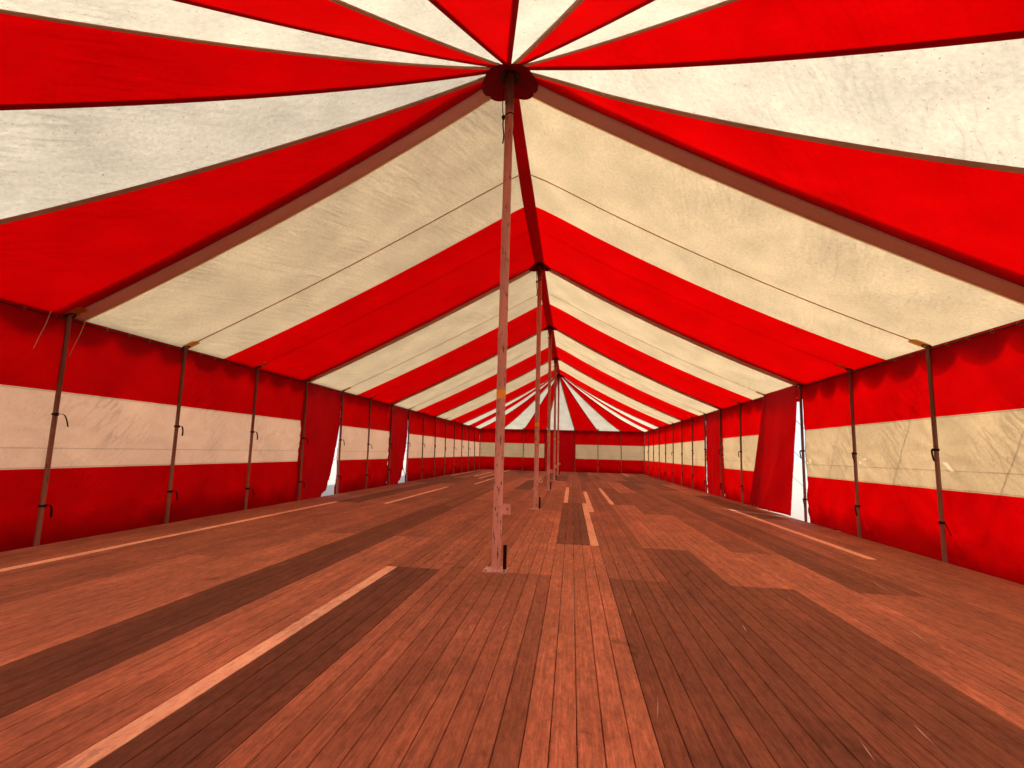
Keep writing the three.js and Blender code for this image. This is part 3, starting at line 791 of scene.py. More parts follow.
def material_rows():
    """Every material: its maker, its name, its colours, and what else the maker takes, in its order."""
    scene = bpy.context.scene
    canvas = scene.tent_canvas
    third = (WALL_TOP - HEM_Z) / 3
    tucks = (HEM_Z + 1.26 * third, HEM_Z + third + 0.012, HEM_Z + 2 * third - 0.012)
    red, glow, cream = canvas.red, canvas.red_glow, canvas.cream
    return {
        "red_canvas": (canvas_look, "red_cotton_canvas", red, glow, 0.63, 0.12, 0.06),
        "wall_red_canvas": (canvas_look, "red_wall_canvas", "#C40A28", glow, 0.69, 0.18, 0.16,
                            {"foot": HEM_Z}),
        "heavy_canvas": (canvas_look, "doubled_red_canvas", red, glow, 0.38, 0.1, 0.05),
        # The doors' canvas lets less light through than the walls', so the doors look darker.
        "door_canvas": (canvas_look, "closely_woven_red_canvas", "#C40C30", glow, 0.48, 0.15, 0.08),
        "rain_canvas": (canvas_look, "weathered_red_canvas", red, glow, 0.85, {"seam_fade": RAIN_FLAP}),
        "cream_canvas": (canvas_look, "undyed_cotton_canvas", cream, canvas.cream_glow,
                         0.73, 0.15, 0.05, 0.45, 0.16, {"slant": 68}),
        "white_canvas": (canvas_look, "newer_cotton_canvas", cream, canvas.white_glow,
                         0.765, 0.15, 0.06, 0.4, 0.16),
        # The left walls' undyed canvas is a shaded copy: its pink light and greater openness are painted red
        # bounce light.
        "blushed_canvas": (canvas_look, "undyed_canvas_blushed_by_red_dye", "#FFE2D2", "#FFDFC6",
                           0.95, 0.09, 0.12, 0.25, 0.09, tucks),
        "golden_canvas": (canvas_look, "undyed_canvas_yellowed_by_sun", cream, "#F4E2C4",
                          0.755, 0.12, 0.12, 0.3, 0.14, tucks),
        "ridge_canvas": (canvas_look, "dark_red_proofed_canvas", "#A00C18", "#FF1020", 0.42),
        "collar_canvas": (canvas_look, "doubled_dark_red_canvas", "#860A16", "#D80818", 0.32),
        "flap_canvas": (canvas_look, "proofed_flax_canvas", "#D8B8B0", "#F0C0A0", 0.22),
        "tan_webbing": (webbing_look, "tan_cotton_webbing", "#A8744A", "#ECC49C", 0.75),
        "brown_webbing": (webbing_look, "jute_webbing", scene.tent_webbing.brown, "#DCB09C", 0.6),
        "red_webbing": (webbing_look, "dark_red_webbing", "#80101A", "#E82028", 0.5),
        "faint_webbing": (webbing_look, "red_cotton_webbing", "#900A1A", "#FF0C24", 0.7),
        "hem_webbing": (webbing_look, "hem_tape", "#D8A06C", "#FFDCA8", 0.8),
        "patch_webbing": (webbing_look, "webbing_patch", "#D8A868", "#FFD898", 0.7),
        "pale_webbing": (webbing_look, "cotton_webbing", "#D8CDB4"),
        "dark_webbing": (webbing_look, "tarred_webbing", "#2E2422"),
        "leather": (plain_look, "oak_tanned_leather", "#E8B474", 0.7),
        "brass": (plain_look, "brass_eyelet", "#D8C8A0", 0.35),
        "tape": (plain_look, "cloth_tape", scene.tent_poles.tape, 0.6),
        "bearers": (plain_look, "sawn_softwood", "#7A5A44", 0.85, 0.4, 80),
        "ground": (plain_look, "plain_pale_floor", scene.tent_stage.ground, 0.8, 0.04, 900),
        "king_paint": (paint_look, "king_pole_paint", scene.tent_poles.king_paint, 0.43,
                       "#F4D9D6", "#B87D60"),
        "side_paint": (paint_look, "side_pole_paint", scene.tent_poles.side_paint, 0.4,
                       "#9C7C70", "#64443A"),
        # Near black: on the collar crowns it also stands in for the shade in the collars' hollows.
        "black_iron": (paint_look, "black_painted_iron", "#0C0A0A", 0.26),
        "zinc": (zinc_look, "galvanised_steel", "#9A9A98"),
        "rope": (rope_look, "laid_hemp_rope", scene.tent_rope.hemp),
        # The wall rope is drawn dark; along the eave it also stands in for the line of shade under the roof's
        # edge.
        "dark_rope": (rope_look, "tarred_hemp_rope", "#5A3028"),
        "timber": (timber_look, "trodden_hardwood", scene.tent_floor.timber),
    }


def material_for(name):
    """One of the tent's materials, made when it is first used."""
    if name not in MADE:
        maker, own_name, *values = material_rows()[name]
        options = values.pop() if isinstance(values[-1], dict) else {}
        values = [linear(value) if isinstance(value, str) else value for value in values]
        made = bpy.data.materials.new(own_name)
        made.use_nodes = True
        made.node_tree.nodes.clear()
        add = partial(add_node, made.node_tree)
        add("ShaderNodeOutputMaterial", {"Surface": maker(add, *values, **options)})
        MADE[name] = made
    return MADE[name]


# The roof's surface.
def hang_of(share):
    """A sag that is nothing at both ends of a stretch and 1 in its middle."""
    return 4 * share * (1 - share)


def bump_at(value, centre, width):
    """A soft bump, 1 at its centre."""
    return exp(-((value - centre) / width) ** 2)


def through_bay(y):
    """How far through its bay a place is."""
    through = (y + RIDGE_END) / BAY
    bay = clamped(floor(through), 0, len(KING_YS) - 2)
    return clamped(through - bay)


PEAK_FALL = 3
# The roof hangs more on the right than on the left, but the first right lacing is taut.
RIGHT_SLACK = 0.06
TAUT_LACING = 0.10
TAUT_REACH = 0.9
# A hipped end is taut down its middle and hangs most at its two hips.
MIDDLE_SLACK = 0.02
HIP_SLACK = 0.22
END_SIDE_SLACK = 0.105
END_RIGHT_SLACK = 0.14
ON_AXIS = 0.01


def turned_at(x, y):
    """How far a place in a hipped end is turned from the end pole's line: 1 is on the hip. A bay has 0."""
    return max(abs(y) - RIDGE_END, 0.0) / max(abs(x), ON_AXIS)


def end_share(turned):
    """How much of the hipped end's own shape it has: none at the end pole's line, all from the first seam."""
    return min(1.0, SPANS_PER_BAY * turned)


def slack_at(x, y):
    """How far the middle of the slope hangs there."""
    turned = turned_at(x, y)
    right = clamped(x)
    taut = TAUT_LACING * bump_at(y, KING_YS[0], TAUT_REACH)
    bay = bpy.context.scene.tent_canvas.sag + right * (RIGHT_SLACK - taut)
    if turned > 1:
        end = MIDDLE_SLACK + (HIP_SLACK - MIDDLE_SLACK) * turned ** -1.5
    else:
        end = END_SIDE_SLACK + (HIP_SLACK - END_SIDE_SLACK) * turned ** 3
        end += right * END_RIGHT_SLACK * (1 - turned)
    own = end_share(turned)
    return bay * (1 - own) + end * own


def roof_z(x, y, puffed=True):
    """Height of the roof cloth's upper side: a straight slope less its sag, drawn up at both end poles."""
    canvas = bpy.context.scene.tent_canvas
    reach = max(abs(x), abs(y) - RIDGE_END)
    slope = min(reach / EAVE_REACH, 1.0)
    away = min(hypot(x, abs(y) - RIDGE_END) / EAVE_REACH, 1.0)
    turned = turned_at(x, y)
    own = end_share(turned)
    # On the left the end is drawn up less between its hip and the bay.
    end_fall = 1 + clamped(-3 * x) * max(turned, 1.0) ** -3
    drawn_up = (1 - own) * (1 - away) ** PEAK_FALL + own * (1 - away) ** end_fall
    drop = slack_at(x, y) * hang_of(slope) - canvas.peak * drawn_up
    if abs(y) <= RIDGE_END:
        through = through_bay(y)
        drop += canvas.ridge_sag * hang_of(through) * (1 - slope) ** 2
        rounding = canvas.ridge_round * hang_of(through) ** 0.5
        drop += PITCH * (hypot(reach, rounding) - reach)
        if puffed:
            drop += canvas.puff * abs(sin(pi * through * SPANS_PER_BAY)) * hang_of(slope)
    return RIDGE_Z - PITCH * reach - drop


NORMAL_STEP = 0.01


def roof_normal(x, y):
    """Upward normal of the roof's slope, without its puff."""
    here = roof_z(x, y, False)
    lean_x = (roof_z(x + NORMAL_STEP, y, False) - here) / NORMAL_STEP
    lean_y = (roof_z(x, y + NORMAL_STEP, False) - here) / NORMAL_STEP
    return Vector((-lean_x, -lean_y, 1)).normalized()


def under_roof(x, y, gap, puffed=False):
    """A place that far below the roof cloth's upper surface."""
    return Vector((x, y, roof_z(x, y, puffed) - gap))


RIDGE_STRETCH = 0.6
ROOF_ROWS = 48
BAY_SEAM = 0.0008


def bay_cloth(index):
    """One bay of the roof: a sheet over the ridge, cream in its near half and red in its far half."""
    near, far = KING_YS[index], KING_YS[index + 1]
    reaches = even(0, RIDGE_STRETCH, 8) + even(RIDGE_STRETCH, EAVE_REACH, 26)[1:]
    xs = [-reach for reach in reversed(reaches)] + reaches[1:]
    ys = even(near + BAY_SEAM, far - BAY_SEAM, ROOF_ROWS)
    points = [Vector((x, y, roof_z(x, y))) for y in ys for x in xs]
    uvs = [(x * SLOPE_LENGTH, y) for y in ys for x in xs]
    faces = grid_faces(len(xs), len(ys))
    slots = [0 if i < len(faces) // 2 else 1 for i in range(len(faces))]
    return make_mesh(f"roof_canvas_{index + 1}", points, faces, uvs, slots)


def end_seams():
    """Where the near end's seams meet the eave, from its left corner at the king pole round to the right."""
    eave = EAVE_REACH / HALF_WIDTH
    side = [k * SPAN * eave for k in range(SPANS_PER_BAY)]
    front = [-x for x in reversed(HALF_POSTS)] + HALF_POSTS
    return ([(-EAVE_REACH, reach) for reach in side] + [(x * eave, EAVE_REACH) for x in front]
            + [(EAVE_REACH, reach) for reach in reversed(side)])


END_SEAMS = end_seams()
GORES = len(END_SEAMS) - 1
END_RINGS = 40
GORE_COLUMNS = 8
GORE_PUFF = 0.8
SPIGOT_HOLE = 0.0105
FIRST_RING = 0.02


def end_point(column, down, way):
    """A place on the hipped end: round it by columns and down from the king pole to the eave."""
    gore = min(column // GORE_COLUMNS, GORES - 1)
    across = column / GORE_COLUMNS - gore
    (from_x, from_y), (to_x, to_y) = END_SEAMS[gore], END_SEAMS[gore + 1]
    x = (from_x + (to_x - from_x) * across) * down
    y = way * (RIDGE_END + (from_y + (to_y - from_y) * across) * down)
    puff = bpy.context.scene.tent_canvas.puff * hang_of(across) * hang_of(down) * GORE_PUFF
    return Vector((x, y, roof_z(x, y) - puff))


def end_cloth(name, way):
    """The hipped end: thirteen gores, red and cream in turn, fanning out from the king pole."""
    rings = [SPIGOT_HOLE / EAVE_REACH, *even(FIRST_RING, 1, END_RINGS)]
    columns = GORES * GORE_COLUMNS + 1
    points = [end_point(column, down, way) for down in rings for column in range(columns)]
    uvs = [(place.x, (place.y - way * RIDGE_END) * SLOPE_LENGTH) for place in points]
    faces = grid_faces(columns, len(rings))
    red_first = 0 if way > 0 else 1
    slots = [(i % (columns - 1) // GORE_COLUMNS + red_first) % 2 for i in range(len(faces))]
    return make_mesh(name, points, faces, uvs, slots)


class TENT_OT_roof(Operator):
    """Makes the roof: four bays and two hipped ends, in cream and red canvas"""
    bl_idname = "tent.roof"
    bl_label = "Roof canvas"

    def execute(self, context):
        for index in range(len(KING_YS) - 1):
            cloth = facing(bay_cloth(index), UP)
            piece = cloth_piece(cloth, ("cream_canvas", "red_canvas"), "roof_canvas", f"roof_bay_{index + 1}")
        for way, name in ENDS:
            cloth = facing(end_cloth(f"roof_canvas_{name}", way), UP)
            piece = cloth_piece(cloth, ("white_canvas", "red_canvas"), "roof_canvas", f"roof_end_{name}")
        return {"FINISHED"}


# Webbing and flaps on the roof.
LINE_STEPS = 20
GORE_STEPS = 24
EAVE_STEPS = 60
WEBBING_HEAD = 0.05
WEBBING_FOOT = 0.02
WEBBING_GAP = 0.0004
EAVE_INSET = 0.03
# Each webbing's width, for the setting's width.
WEBBING_WIDTHS = {"tan": 0.5, "brown": 1.1, "red": 1.0, "faint": 0.4}


def slope_line(y, side, gap):
    """A line down the slope at one place along the ridge, and its tilts."""
    reaches = even(WEBBING_HEAD, EAVE_REACH - WEBBING_FOOT, LINE_STEPS)
    return [under_roof(side * reach, y, gap) for reach in reaches], [0.0] * len(reaches)


def gore_line(index, way, gap, width):
    """A line down a gore seam, beside it on the gore that is nearer the middle, and its tilts."""
    towards = END_SEAMS[index + 1] if index <= GORES // 2 else END_SEAMS[index - 1]
    seam = Vector(END_SEAMS[index])
    side = Vector((-seam.y, seam.x)).normalized()
    if side.dot(Vector(towards) - seam) < 0:
        side = -side
    # The webbing starts hidden under the collar.
    downs = even(COLLAR_RADIUS / EAVE_REACH * 0.4, 0.995, GORE_STEPS)
    line, tilts = [], []
    for down in downs:
        plan = seam * down + side * width / 2
        line.append(under_roof(plan.x, way * (RIDGE_END + plan.y), gap, True))
    for k, down in enumerate(downs):
        along = line[min(k + 1, GORE_STEPS)] - line[max(k - 1, 0)]
        plan = seam * down + side * width
        tilts.append(tilt_onto(along, roof_normal(plan.x, way * (RIDGE_END + plan.y))))
    return line, tilts


def eave_lines(reach, gap, halves):
    """Lines along the four eaves, tilted on to the slope; halves are their half lengths along Y and X."""
    lines = []
    for out in (-1, 1):
        for along_x, half in ((False, halves[0]), (True, halves[1])):
            level = (0, out * (RIDGE_END + reach)) if along_x else (out * reach, 0)
            places = [(s, level[1]) if along_x else (level[0], s) for s in even(-half, half, EAVE_STEPS)]
            line = [under_roof(*place, gap) for place in places]
            lines.append((line, [tilt_onto(line[1] - line[0], roof_normal(*level))] * len(line)))
    return lines


class TENT_OT_webbing(Operator):
    """Sews the webbing under the roof: down each bay, down each gore seam and along the eaves"""
    bl_idname = "tent.webbing"
    bl_label = "Roof webbing"

    def execute(self, context):
        webbing = context.scene.tent_webbing
        gap = context.scene.tent_canvas.thickness + webbing.thickness / 2 + WEBBING_GAP
        lines = {dyed: [] for dyed in WEBBING_WIDTHS}
        for near in KING_YS[:-1]:
            for third in range(1, SPANS_PER_BAY):
                for side in (-1, 1):
                    dyed = "tan" if third * 2 < SPANS_PER_BAY else "faint"
                    lines[dyed].append(slope_line(near + third * SPAN, side, gap))
        for way in (-1, 1):
            for index in range(1, GORES):
                gore = index if index <= GORES // 2 else index - 1
                dyed = "red" if (gore + (1 if way < 0 else 0)) % 2 == 1 else "brown"
                lines[dyed].append(gore_line(index, way, gap, WEBBING_WIDTHS[dyed] * webbing.width))
        lines["red"] += eave_lines(EAVE_REACH - EAVE_INSET, gap, (HALF_LENGTH + 0.06, HALF_WIDTH + 0.02))
        for dyed, width in WEBBING_WIDTHS.items():
            strips(f"roof_webbing_{dyed}", lines[dyed], width * webbing.width, webbing.thickness,
                   f"{dyed}_webbing", "roof_canvas")
        return {"FINISHED"}


LACING_FLAPS = (0.205, 0.16, 0.16, 0.16, 0.16)
RAIN_LAP = 0.02
LACING_LAP = 0.002
LEFT_SHARE = 0.88
FLAP_ROWS = 60
FLAP_COLUMNS = 5
FLAP_SLACK = 0.5
HEM_OFFSET = Vector((0, 0.008, -0.004))


def flap_sheet(start, y, lap, width, side, lift, wave, widens):
    """A strip of cloth down one slope, lift above the roof (or under it), widening from its head and loose
    along its far edge. Its UV starts at the seam."""
    points, uvs = [], []
    for reach in even(start, EAVE_REACH - 0.01, FLAP_ROWS):
        uneven = 1 + 0.05 * noise(Vector((reach * 1.4, y, side)))
        here = copysign(min(abs(width) * uneven, widens * reach), width)
        slack = min(1.0, reach / FLAP_SLACK)
        for loose in even(0, 1, FLAP_COLUMNS - 1):
            off = lap + (here - lap) * loose
            ripple = slack * wave * loose * (0.5 + 0.5 * noise(Vector((reach * 2.2, y, side))))
            z = roof_z(side * reach, y + off) + lift * (0.45 + 0.55 * slack) + copysign(ripple, lift)
            points.append(Vector((side * reach, y + off, z)))
            uvs.append((abs(off), reach * SLOPE_LENGTH))
    return points, grid_faces(FLAP_COLUMNS, FLAP_ROWS + 1), uvs


def sheets_mesh(name, sheets, up):
    """Several sheets of cloth as one mesh, each with its first face up, or down."""
    shapes, all_uvs = [], []
    for points, faces, uvs in sheets:
        a, b, c = (points[i] for i in faces[0][:3])
        looks_up = (b - a).cross(c - a).z > 0
        shapes.append((points, faces if looks_up == up else turned_over(faces)))
        all_uvs += uvs
    return make_mesh(name, *joined(shapes), all_uvs)


class TENT_OT_flaps(Operator):
    """Sews a rain flap over each laced seam of the roof, and a lacing flap under it"""
    bl_idname = "tent.flaps"
    bl_label = "Seam flaps"

    def execute(self, context):
        rain, lacing, hems = [], [], []
        for y, width in zip(KING_YS, LACING_FLAPS):
            for side, share in ((-1, LEFT_SHARE), (1, 1)):
                rain.append(flap_sheet(0.2, y, RAIN_LAP, -RAIN_FLAP, side, 0.009, 0.012, 0.3))
                sheet = flap_sheet(0.07, y, LACING_LAP, width * share, side, -0.008, 0.004, 5.0)
                lacing.append(sheet)
                hem = [place + HEM_OFFSET for place in sheet[0][FLAP_COLUMNS - 1::FLAP_COLUMNS]]
                hems.append((hem, [0.0] * len(hem)))
        cloth_piece(sheets_mesh("rain_flaps", rain, up=True), ("rain_canvas",), "roof_canvas", outside=1)
        cloth_piece(sheets_mesh("lacing_flaps", lacing, up=True), ("flap_canvas",), "roof_canvas")
        strips("lacing_flap_hems", hems, 0.016, 0.002, "hem_webbing", "roof_canvas")
        return {"FINISHED"}


# Ridge canvas and collars.
BAND_HALF = 0.097
BAND_HEAD = 0.06
BAND_WIDENS = 2.2
BAND_GAP = 0.0062
COLLARS = (0.30, 0.22, 0.22, 0.22, 0.30)
COLLAR_SIDES = 96
COLLAR_LOBES = 6
COLLAR_SKIRT = 0.012
COLLAR_FOLLOW = 0.8
COLLAR_GAP = 0.009
CROWN_RADIUS = 0.11


def ridge_strip():
    """The band under the ridge: a sheet folded over the ridge line, narrow at the end poles' heads."""
    points, uvs = [], []
    shares, ys = even(-1, 1, 8), even(-RIDGE_END, RIDGE_END, 160)
    for y in ys:
        half = BAND_HEAD + (BAND_HALF - BAND_HEAD) * min((RIDGE_END - abs(y)) / BAND_WIDENS, 1.0)
        points += [under_roof(share * half, y, BAND_GAP) for share in shares]
        uvs += [(share * half, y) for share in shares]
    return points, grid_faces(len(shares), len(ys)), uvs


def lowest_roof(radius, y):
    """The roof's least height on a circle round a king pole."""
    turns = [pi * k / 6 for k in range(12)]
    return min(roof_z(radius * cos(turn), y + radius * sin(turn), False) for turn in turns)


def collar_sheet(y, radius):
    """The round collar at a king pole: a shallow cone with a scalloped skirt."""
    rows = [(r, lowest_roof(r, y), 0.0) for r in even(KING_RADIUS + 0.004, radius - 0.002, 6)]
    rows += [(radius + 0.004 * skirt, rows[-1][1] - 0.003, skirt) for skirt in (0.15, 0.6, 1.0)]
    points, uvs = [], []
    for r, z, skirt in rows:
        for k in range(COLLAR_SIDES + 1):
            turn = 2 * pi * k / COLLAR_SIDES
            lobe = abs(cos(turn * COLLAR_LOBES / 2)) ** 0.5
            wide = r * (1 - 0.07 * (1 - lobe) * (r / radius) ** 3)
            place_x, place_y = wide * cos(turn), y + wide * sin(turn)
            drop = skirt * COLLAR_SKIRT * lobe
            follow = max(COLLAR_FOLLOW * (roof_z(place_x, place_y, False) - z), 0.0)
            points.append(Vector((place_x, place_y, z + follow - drop - COLLAR_GAP)))
            uvs.append((place_x, place_y + drop))
    return points, grid_faces(COLLAR_SIDES + 1, len(rows)), uvs


def crown_shape(y):
    """The iron crown under a collar, a dished ring round the pole's head; its near-black paint also stands in
    for the shade in the collar's hollow.
    """
    inner, outer = KING_RADIUS + 0.012, CROWN_RADIUS
    head, rim = lowest_roof(inner, y), lowest_roof(outer, y)
    profile = [(0, head - 0.022), (inner, head - 0.03), (outer - 0.004, rim - 0.022), (outer, rim - 0.018),
               (outer - 0.002, rim - 0.013), (0, head - 0.013)]
    return lathe(profile, 48, (0, y))


class TENT_OT_ridge(Operator):
    """Makes the dark band under the ridge and the scalloped collar at each king pole"""
    bl_idname = "tent.ridge"
    bl_label = "Ridge canvas"

    def execute(self, context):
        band = sheets_mesh("ridge_canvas", [ridge_strip()], up=False)
        band = cloth_piece(band, ("ridge_canvas",), "ridge_canvas", "ridge_band", outside=1)
        collars = [collar_sheet(y, radius) for y, radius in zip(KING_YS, COLLARS)]
        collars = sheets_mesh("ridge_collars", collars, up=False)
        collars = cloth_piece(collars, ("collar_canvas",), "ridge_canvas", outside=1)
        # Painted shade: the near-black crowns also stand in for the shade in the collars' hollows.
        solid_piece("collar_crowns", [crown_shape(y) for y in KING_YS], "black_iron", "ridge_canvas")
        return {"FINISHED"}


# Valances.
SCALLOP = 0.62
SCALLOP_COLUMNS = 12
VALANCE_ROWS = 6
CUSP = 0.06
LOBE = 0.26
LOBE_POWER = 0.6
VALANCE_FLUTTER = 0.012


def placer(out, along_x, face):
    """Gives points on an upright cloth from along, out and up; face is how far from the ridge it hangs."""
    if along_x:
        return lambda s, off, z: Vector((s, out * (RIDGE_END + face + off), z))
    return lambda s, off, z: Vector((out * (face + off), s, z))


def way_out(out, along_x):
    return (0, out, 0) if along_x else (out, 0, 0)


def valance_sheet(start, end, place):
    """A valance between two places along the eave."""
    count = round((end - start) / SCALLOP) * SCALLOP_COLUMNS
    points, uvs = [], []
    for k, s in enumerate(even(start, end, count)):
        swell = abs(sin(pi * (k / SCALLOP_COLUMNS % 1))) ** LOBE_POWER
        deep = CUSP + (LOBE - CUSP) * swell
        for down in even(0, 1, VALANCE_ROWS):
            flutter = VALANCE_FLUTTER * down * noise(Vector((s * 1.7, down * 0.8, place(0, 0, 0).x)))
            points.append(place(s, flutter, VALANCE_TOP - deep * down))
            uvs.append((s, -deep * down))
    return points, grid_faces(VALANCE_ROWS + 1, count + 1), uvs


class TENT_OT_valance(Operator):
    """Hangs the scalloped valance outside the eaves"""
    bl_idname = "tent.valance"
    bl_label = "Valance"

    def execute(self, context):
        face = VALANCE_FACE - 0.002
        half = VALANCE_FACE + RIDGE_END
        runs = []
        for out, side in SIDES:
            runs.append((f"valance_{side}_near", [f"valance_{side}"], -half, 0.0, out, False))
            runs.append((f"valance_{side}_far", [], 0.0, half, out, False))
        for out, end in ENDS:
            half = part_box(f"valance_{end}")[1].x
            runs.append((f"valance_{end}", [f"valance_{end}"], -half, half, out, True))
        for name, nodes, start, end, out, along_x in runs:
            sheet = valance_sheet(start, end, placer(out, along_x, face))
            cloth = facing(make_mesh(f"{name}_cloth", *sheet), way_out(out, along_x))
            piece = cloth_piece(cloth, ("heavy_canvas",), "valance_canvas", *nodes)
        return {"FINISHED"}


# Walls and doors.
WALL_STEP = 0.055
BAND_ROWS = 16
WALL_ROWS = 3 * BAND_ROWS
STRAP_UPPER = 1.38
STRAP_LOWER = 0.50
FIRST_STRAP_RAISED = 0.17
END_POSTS = [-x for x in reversed(HALF_POSTS)] + HALF_POSTS
SIDE_POSTS = [side_y(i) for i in range(SIDE_STATIONS)]
# Hems that have ridden up: how far, and where along the wall.
RAISED_HEMS = {"wall_right_middle": (0.09, -4.2)}
RAISED_WIDTH = 1.3


def wall_sway(s, z, posts, seed):
    """How far a wall stands out from its line: billow between poles, soft folds and the straps' pull."""
    up = (z - HEM_Z) / (WALL_TOP - HEM_Z)
    after = next((i for i, post in enumerate(posts) if post > s), len(posts) - 1)
    after = clamped(after, 1, len(posts) - 1)
    near, far = posts[after - 1], posts[after]
    share = clamped((s - near) / (far - near))
    strength = 0.6 + 0.5 * noise(Vector((near * 0.9, seed, 4.0)))
    billow = bpy.context.scene.tent_canvas.billow * strength * hang_of(share)
    billow *= sin(pi * min(1.0, (1 - up) * 0.85 + 0.02))
    folds = 0.020 * noise(Vector((s * 3.1, z * 0.4, seed))) * (1 - 0.75 * up)
    creases = 0.011 * noise(Vector((s * 5 + z * 4, z * 6 - s * 2, seed + 9)))
    beside = min(s - near, far - s) if near <= s <= far else 0.0
    pull = bump_at(z, STRAP_UPPER, 0.22) * 0.011 + bump_at(z, STRAP_LOWER, 0.18) * 0.022
    pull *= bump_at(beside, 0, 0.16)
    for strap_z in (STRAP_UPPER, STRAP_LOWER):
        turn = atan2(z - strap_z + 0.12 * strength, beside + 0.05)
        creases += 0.012 * sin(turn * 11 + near) * bump_at(hypot(z - strap_z, beside), 0.3, 0.22)
    ends = min(1.0, abs(s - posts[0]) / 0.2, abs(posts[-1] - s) / 0.2)
    return (billow + folds + creases) * max(ends, 0.05) * min(1.0, (1 - up) * 6) - pull


def hem_rise(s, seed, raised):
    """The hem rides up and down a little."""
    uneven = 0.02 * noise(Vector((s * 0.45, seed, 2.0)))
    uneven += 0.01 * noise(Vector((s * 3.0, seed, 7.0)))
    return 0.012 + uneven + raised[0] * bump_at(s, raised[1], RAISED_WIDTH)


def wall_sheet(start, end, posts, seed, place, fold, raised):
    """A hanging wall from one place along it to another; fold draws a door's cloth back."""
    columns = max(8, round((end - start) / WALL_STEP))
    points, uvs = [], []
    for up in even(0, 1, WALL_ROWS):
        for share in even(0, 1, columns):
            along = start + (end - start) * share
            straight = HEM_Z + (WALL_TOP - HEM_Z) * up
            z = straight + hem_rise(along, seed, raised) * (1 - up) ** 8
            off = wall_sway(along, z, posts, seed)
            points.append(place(*(fold(share, up, along, z, off) if fold else (along, off, z))))
            uvs.append((along, straight))
    return points, grid_faces(columns + 1, WALL_ROWS + 1), uvs


def hang_cloth(node, out, along_x, materials, seed, fold=None, lap=0.0):
    """Hangs a wall or door cloth in place of its node, in three equal bands if it has two materials. A door
    laps over the wall before it."""
    low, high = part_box(node)
    start, end = (low.x, high.x) if along_x else (low.y, high.y)
    start -= lap
    posts = END_POSTS if along_x else SIDE_POSTS
    place = placer(out, along_x, WALL_FACE - 0.001)
    points, faces, uvs = wall_sheet(start, end, posts, seed, place, fold, RAISED_HEMS.get(node, (0, 0)))
    band = len(faces) // 3
    slots = [i // band % len(materials) for i in range(len(faces))]
    cloth = facing(make_mesh(f"{node}_cloth", points, faces, uvs, slots), way_out(out, along_x))
    piece = cloth_piece(cloth, materials, "wall_canvas", node)
    return points


class TENT_OT_walls(Operator):
    """Hangs the canvas walls: red above and below a cream band"""
    bl_idname = "tent.walls"
    bl_label = "Walls"

    def execute(self, context):
        rows = [(f"wall_{side}_{part}", out, False) for out, side in SIDES
                for part in ("near", "middle", "far")]
        rows += [(f"wall_{end}_{side}", out, True) for out, end in ENDS
                 for side in ("left", "right")]
        for number, (node, out, along_x) in enumerate(rows):
            # The left walls take the shaded copy of the cream canvas, whose pink is painted bounce light.
            cream = "blushed_canvas" if out < 0 and not along_x else "golden_canvas"
            hang_cloth(node, out, along_x, ("wall_red_canvas", cream), 1.0 + number * 3.7)
        return {"FINISHED"}


DOOR_GAP = 0.4
DOOR_LAP = 0.08
OPENS_AT = 0.3
DOOR_OFFSET = 0.012


def part_open(share, up, s, z, off):
    """A door drawn back from its far pole below its lacing, most at the hem, where its corner rides up."""
    down = 1 - up
    opened = max(0.0, (down - OPENS_AT) / (1 - OPENS_AT)) ** 1.3
    gather = 0.028 * sin(share * pi * 7 + 0.6) * share * down ** 0.7
    corner = max(0.0, share - 0.72) / 0.28
    out = off + gather + 0.03 * corner * down - DOOR_OFFSET * (1 - share)
    return s - DOOR_GAP * share * opened, out, z + 0.16 * corner ** 2.2 * down ** 4


def shut(share, up, s, z, off):
    """A closed door hangs in soft upright folds."""
    return s, off + 0.012 * sin(share * pi * 9) * (1 - up) ** 0.5 - DOOR_OFFSET * (1 - share), z


DRAWN_ROWS = 56
DRAWN_COLUMNS = 40
DRAWN_FOLD = 0.55
DRAWN_HEM = 0.407
EYELET_EVERY = 4


def drawn_door_sheet():
    """The first right door: lashed along its top, its hem pulled in over the floor, folded from a head."""
    low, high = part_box("door_right_1")
    top_x, hem_x = high.x - 0.003, low.x + 0.002
    width = side_y(7) - low.y
    near_hem = side_y(6) + SIDE_RADIUS + (high.y - side_y(7)) * DRAWN_HEM
    points, uvs = [], []
    for down in even(0, 1, DRAWN_ROWS):
        for across in even(0, 1, DRAWN_COLUMNS):
            y = (low.y + width * across) * (1 - down) + (near_hem + (high.y - near_hem) * across) * down
            fold_at = DRAWN_FOLD * down
            if across < fold_at:
                crease = across / max(fold_at, 0.001)
            else:
                crease = 1 - (across - fold_at) / max(1 - fold_at, 0.001)
            inward = 0.11 * down * (crease ** 1.4) - 0.05 * down
            inward += 0.014 * sin(across * pi * 6 + down * 2.2) * down
            inward += 0.006 * noise(Vector((across * 5 + down * 3, down * 6, 3.3)))
            sway = 0.02 * down * noise(Vector((across * 4, 8.0, 1.0)))
            x = top_x + (hem_x - top_x) * down - inward
            points.append(Vector((x, y, high.z + (low.z - high.z) * down + sway)))
            uvs.append((across * width, -down * (high.z - low.z)))
    return points, grid_faces(DRAWN_COLUMNS + 1, DRAWN_ROWS + 1), uvs


DOORS = (("door_left_1", -1, False, part_open), ("door_left_2", -1, False, part_open),
         ("door_right_2", 1, False, shut), ("door_near", -1, True, shut), ("door_far", 1, True, shut))


